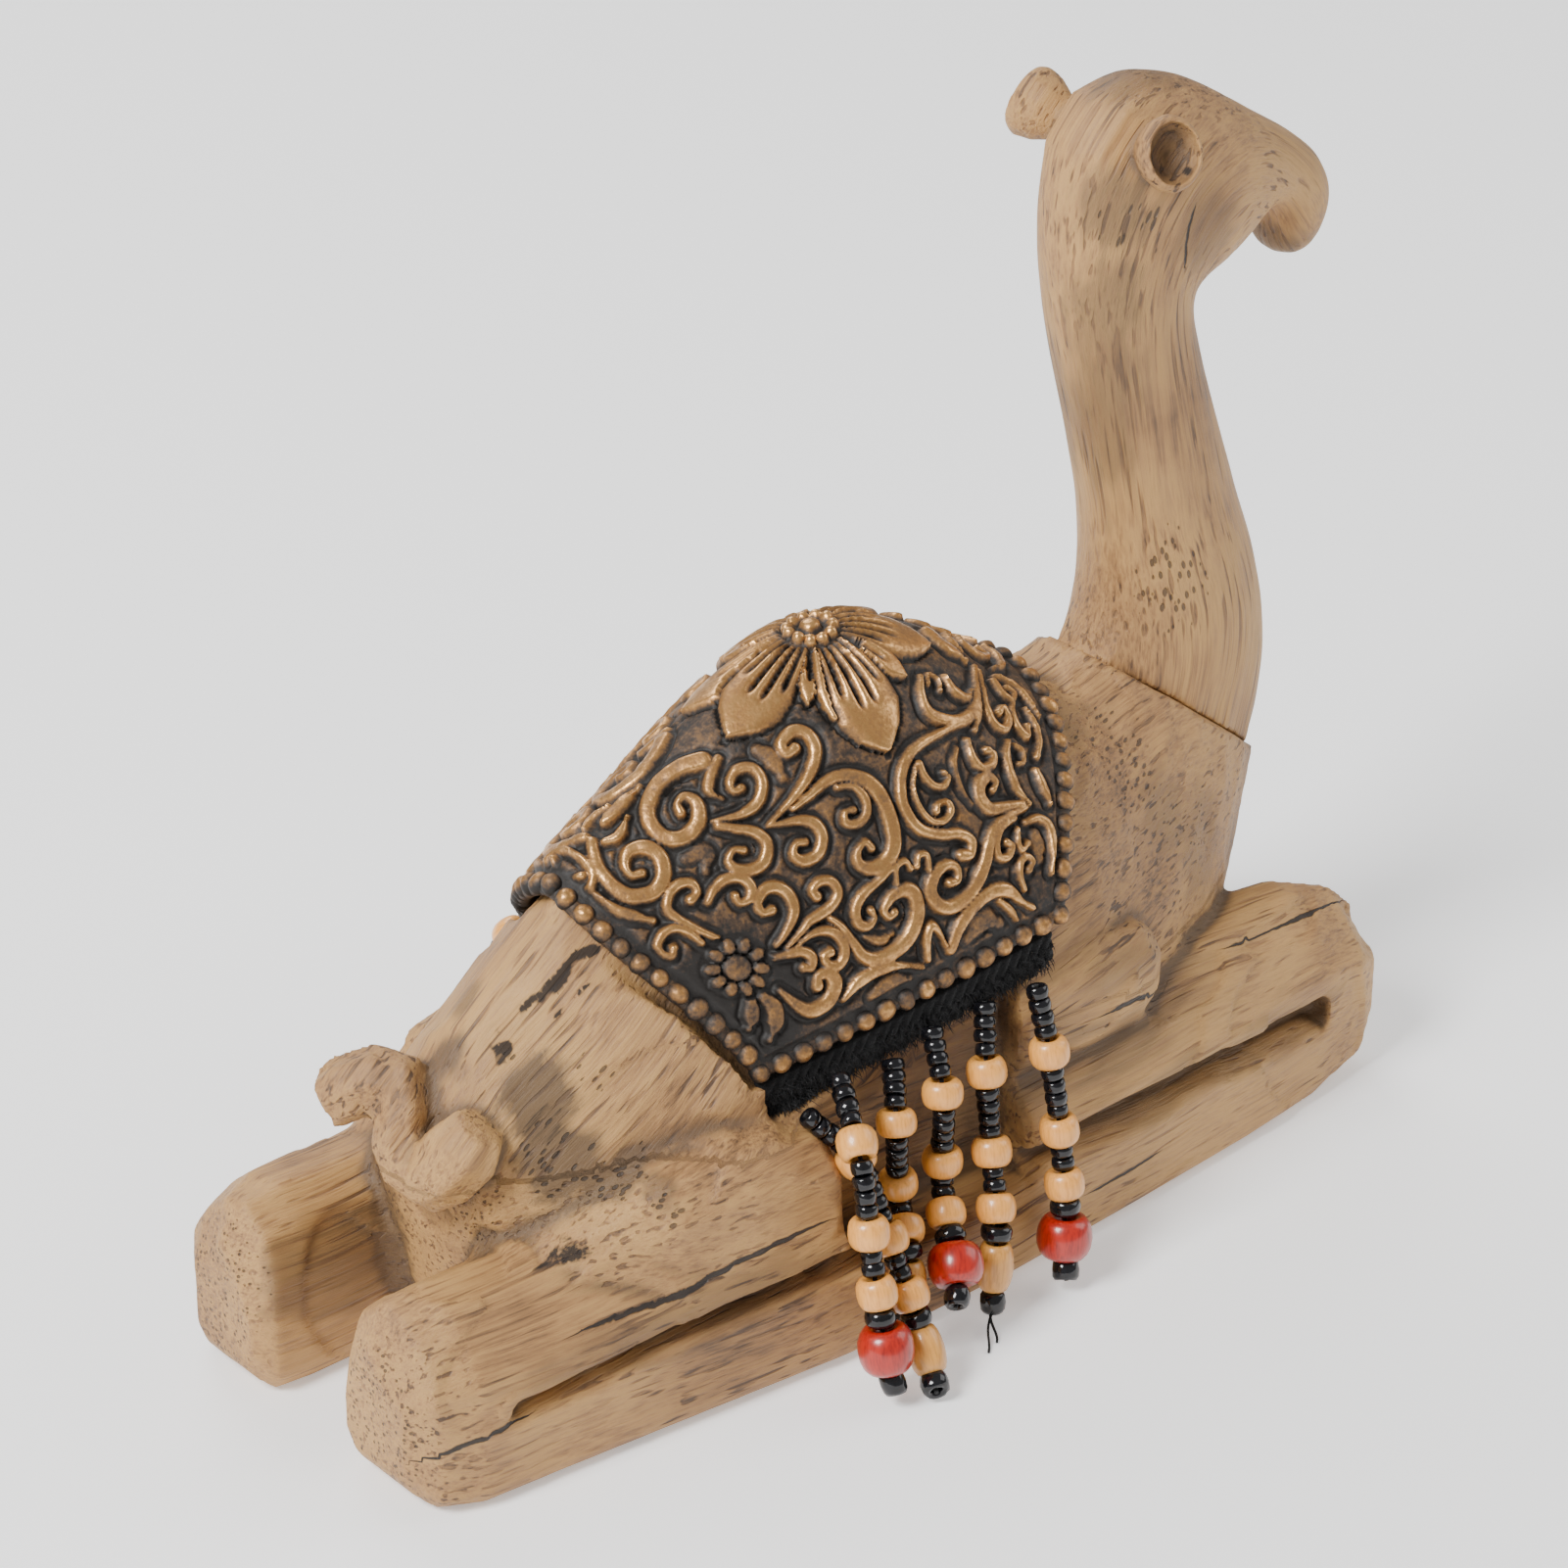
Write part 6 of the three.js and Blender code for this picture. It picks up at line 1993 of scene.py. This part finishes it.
@dataclass
class Studio:
    """Pale floor, soft light and a camera at the photograph's angle."""

    target: tuple[float, float, float] = (-13.38 + SHIFT_X, -7.58, 95.0)
    azimuth: float = -41.0
    elevation: float = 28.0
    distance: float = 862.0
    lens: float = 112.43
    floor_size: float = 12.0

    def build(self) -> None:
        """Places floor, lights and camera."""
        self.floor()
        self.lights()
        self.camera()

    def floor(self) -> None:
        """Wide plain floor under the object."""
        choose_none()
        bpy.ops.mesh.primitive_plane_add(size=self.floor_size, location=(0, 0, 0))
        made = bpy.context.object
        made.name = "studio_floor"
        material, tree = empty_material("pale studio floor")
        shader = add_node(
            tree,
            "ShaderNodeBsdfPrincipled",
            {
                "Base Color": linear("f4f4f4"),
                "Roughness": 0.9,
                "Emission Color": linear("ffffff"),
                "Emission Strength": 0.4,
            },
        )
        close_material(tree, shader)
        made.data.materials.append(material)

    def lights(self) -> None:
        """One large soft key, a fill and a rim light, under an even sky."""
        world = bpy.data.worlds.new("studio")
        bpy.context.scene.world = world
        world.use_nodes = True
        world.node_tree.nodes["Background"].inputs[0].default_value = linear("ffffff")
        world.node_tree.nodes["Background"].inputs[1].default_value = 0.36
        # Name, place and size in metres, and power in watts.
        rows = [
            ("key", (-1.2, -0.1, 1.25), 0.6, 42.0),
            ("fill", (1.0, -0.5, 0.8), 0.9, 6.0),
            ("back", (0.3, 1.0, 1.0), 0.8, 9.0),
        ]
        for name, place, size, power in rows:
            light = bpy.data.lights.new(name, "AREA")
            light.size = size
            light.energy = power
            made = bpy.data.objects.new(name, light)
            bpy.context.scene.collection.objects.link(made)
            made.location = place
            made.rotation_euler = (Vector((0, 0, 0.08)) - Vector(place)).to_track_quat("-Z", "Y").to_euler()

    def camera(self) -> None:
        """Camera at the photograph's viewing angle."""
        azimuth, elevation = math.radians(self.azimuth), math.radians(self.elevation)
        level = math.cos(elevation)
        back = Vector((math.sin(azimuth) * level, -math.cos(azimuth) * level, math.sin(elevation)))
        data = bpy.data.cameras.new("camera")
        data.lens = self.lens
        data.sensor_width = 36.0
        data.clip_end = 50.0
        made = bpy.data.objects.new("camera", data)
        bpy.context.scene.collection.objects.link(made)
        made.location = (Vector(self.target) + back * self.distance) * MM
        made.rotation_euler = (-back).to_track_quat("-Z", "Y").to_euler()
        bpy.context.scene.camera = made


# Marks on the body and on the neck, in millimetres of the drawing.
BODY_CRACKS = (
    Crack(((-117.4, -28.0, 10.1), (-112.4, -36.1, 14.0), (-102.6, -38.8, 15.7), (-94.9, -39.2, 16.8)),
           0.6),
    Crack(((-90.9, -38.0, 27.0), (-78.4, -39.0, 27.3), (-64.9, -40.6, 27.1), (-58, -41.8, 28.7),
           (-45, -43.9, 30.6), (-31.4, -43.9, 31.3)), 0.8),
    Crack(((26.2, -45.3, 10.5), (38.1, -44.6, 10.4), (49.4, -43.8, 10.9)), 0.4),
    Crack(((72.0, -33.8, 40.2), (91.7, -32.9, 38.6), (115.0, -27.8, 33.4)), 0.62),
    Crack(((60.0, -33.6, 39.0), (50.1, -41.0, 42.5), (41.7, -42.2, 45.2), (31.0, -42.4, 44.6)), 0.62),
)
# Black chips on the rump.
BODY_CHIPS = (
    Crack(((-69.4, -8.2, 73.6), (-66.0, -8.6, 75.6), (-62.6, -8.8, 78.2), (-59.0, -9.6, 79.6),
           (-57.4, -11.6, 79.8)), 1.7),
    Crack(((-68.8, -11.6, 70.8), (-65.4, -12.2, 73.2), (-61.6, -12.4, 75.4)), 1.0),
    Crack(((-77.4, -6.4, 69.4), (-74.4, -6.8, 71.4), (-71.2, -7.6, 73.0)), 1.7),
    Crack(((-79.6, -7.0, 67.4), (-77.2, -8.8, 67.2)), 1.6),
    Crack(((-62.0, 24.0, 68.0), (-55.0, 26.0, 70.0), (-49.0, 27.0, 73.0)), 1.4),
)
BODY_PITS = (
    Patch((-118, 22, 20), (8, 16, 22), 0.8), Patch((-118, -24, 16), (8, 18, 22), 0.8),
    Patch((-76, -22, 50), (11, 9, 10), 1.0), Patch((-68, -27, 46), (9, 7, 8), 1.0),
    Patch((-66, -19, 63), (5, 5, 6), 1.0), Patch((-78, -8.4, 65.5), (4, 5, 4), 0.8),
    Patch((-89, -13, 41), (9, 10, 9), 0.8), Patch((-65, -38, 42), (7, 7, 7), 1.0),
    Patch((56, -20, 81), (14, 14, 17), 0.9), Patch((70, -24, 66), (12, 10, 14), 0.7),
    Patch((117, -26, 22), (8, 14, 16), 0.7), Patch((33, -42, 44), (5, 5, 8), 0.9),
    Patch((56, 20, 81), (14, 14, 17), 0.9), Patch((-72, 22, 52), (12, 10, 16), 0.9),
)
BODY_BURNS = (
    Patch((-82, -31, 37.5), (9, 6, 3.2), 0.75), Patch((-76, -18, 55), (5, 5, 5), 0.45),
    Patch((-78, -8.4, 65.5), (3, 3, 2.5), 0.7), Patch((20, 44, 30), (14, 6, 5), 0.5),
)
# Darker patches, marked with the painted shade of the hollows: weathering on the rump, and painted shade
# low along both flanks and under the blanket.
BODY_WEATHER_AND_SHADE = (
    Patch((-76, -16, 59), (9, 8, 9), 1.0), Patch((-76, -22, 50), (11, 8, 9), 0.95),
    Patch((-68, -27, 45.5), (9, 6, 5), 0.7), Patch((-84, -1, 64), (5, 5, 7), 0.8),
    Patch((-75.5, 5, 69.6), (6, 4, 6), 0.6), Patch((-65, -34, 46), (4, 6, 7), 0.6),
    Patch((-66, -43, 22), (56, 7, 8), 0.42), Patch((60, -40, 22), (50, 7, 9), 0.42),
    Patch((42, -40, 36), (18, 6, 9), 0.5), Patch((38, -42, 52), (14, 6, 5), 0.35),
    Patch((74, -25, 58), (12, 10, 16), 0.35), Patch((64, -24, 68), (9, 10, 12), 0.35),
    Patch((50, -14, 90), (8, 12, 5), 0.4), Patch((-98, 10, 26), (32, 6, 20), 0.6),
    Patch((14, -36, 38), (50, 8, 20), 0.55), Patch((14, 36, 38), (50, 8, 20), 0.5),
    Patch((-66, 40, 24), (46, 7, 9), 0.4), Patch((60, 38, 24), (46, 7, 9), 0.4),
    Patch((74, 25, 58), (12, 10, 16), 0.3), Patch((84, 0, 62), (10, 16, 18), 0.4),
)
NECK_CRACKS = (Crack(((78.6, -13.6, 182.9), (76.9, -13.2, 176.5), (77.5, -12.6, 168.1)), 0.4),)
NECK_PITS = (
    Patch((64, -12, 180), (12, 9, 8), 1.0), Patch((78, -12, 108), (9, 8, 15), 0.95),
    Patch((64, 12, 180), (12, 9, 8), 0.9), Patch((78, 12, 108), (9, 8, 15), 0.8),
)
NECK_BURNS = (Patch((69.8, -19.0, 192.2), (3.0, 3.2, 2.6), 0.8),)
NECK_WEATHER = (
    Patch((64, -8, 140), (8, 12, 40), 0.5), Patch((62, -9, 163), (9, 12, 16), 0.5),
    Patch((62, -10, 184), (11, 10, 10), 0.55), Patch((74, 0, 205), (22, 16, 6), 0.5),
    Patch((82, -13, 176), (9, 6, 10), 0.45), Patch((64, 8, 150), (8, 12, 44), 0.45),
    Patch((82, 13, 176), (9, 6, 10), 0.4), Patch((112, 0, 162), (9, 10, 7), 0.7),
)


def main() -> None:
    """Builds every piece of the statue and the studio."""
    logging.basicConfig(level=logging.INFO, format="%(name)s %(message)s")
    wood = DriftwoodResin().build()
    bronze = AgedBronzePaint().build()
    finishes = {
        "glass": BlackGlass().build(),
        "pale": TurnedWood("pale lacquered wood", "f0a851", "cf8838", 0.36, 0.4).build(),
        "honey": TurnedWood("honey lacquered wood", "d99b4a", "b97a30", 0.36, 0.45).build(),
        "red": TurnedWood("red stained wood", "b01f0c", "7a0f06", 0.33, 0.5).build(),
        "braid": ChenilleBraid().build(),
    }
    BodyCarving(
        "camel_body", "carved_body", voxel=1.06, cracks=BODY_CRACKS, pitted=BODY_PITS, burnt=BODY_BURNS,
        chips=BODY_CHIPS, weathered_and_shaded=BODY_WEATHER_AND_SHADE, seed=1,
    ).build(wood)
    NeckCarving(
        "neck_and_head", "carved_neck_and_head", voxel=0.62, cracks=NECK_CRACKS, pitted=NECK_PITS,
        burnt=NECK_BURNS, weathered_and_shaded=NECK_WEATHER, seed=2, facet_depth=0.0,
    ).build(wood)
    blanket = SaddleBlanket()
    blanket.cloth(bronze)
    blanket.rail(bronze)
    blanket.rim(bronze)
    box = BeadBox()
    for side in Side:
        FringeBraid(side, blanket.surface).build(finishes["braid"])
        for number, (accent, line) in enumerate(STRANDS, start=1):
            Strand(number, side, accent, line, LOOSE_ENDS.get(number, ())).build(box, finishes)
    box.empty()
    Studio().build()


if __name__ == "__main__":
    main()
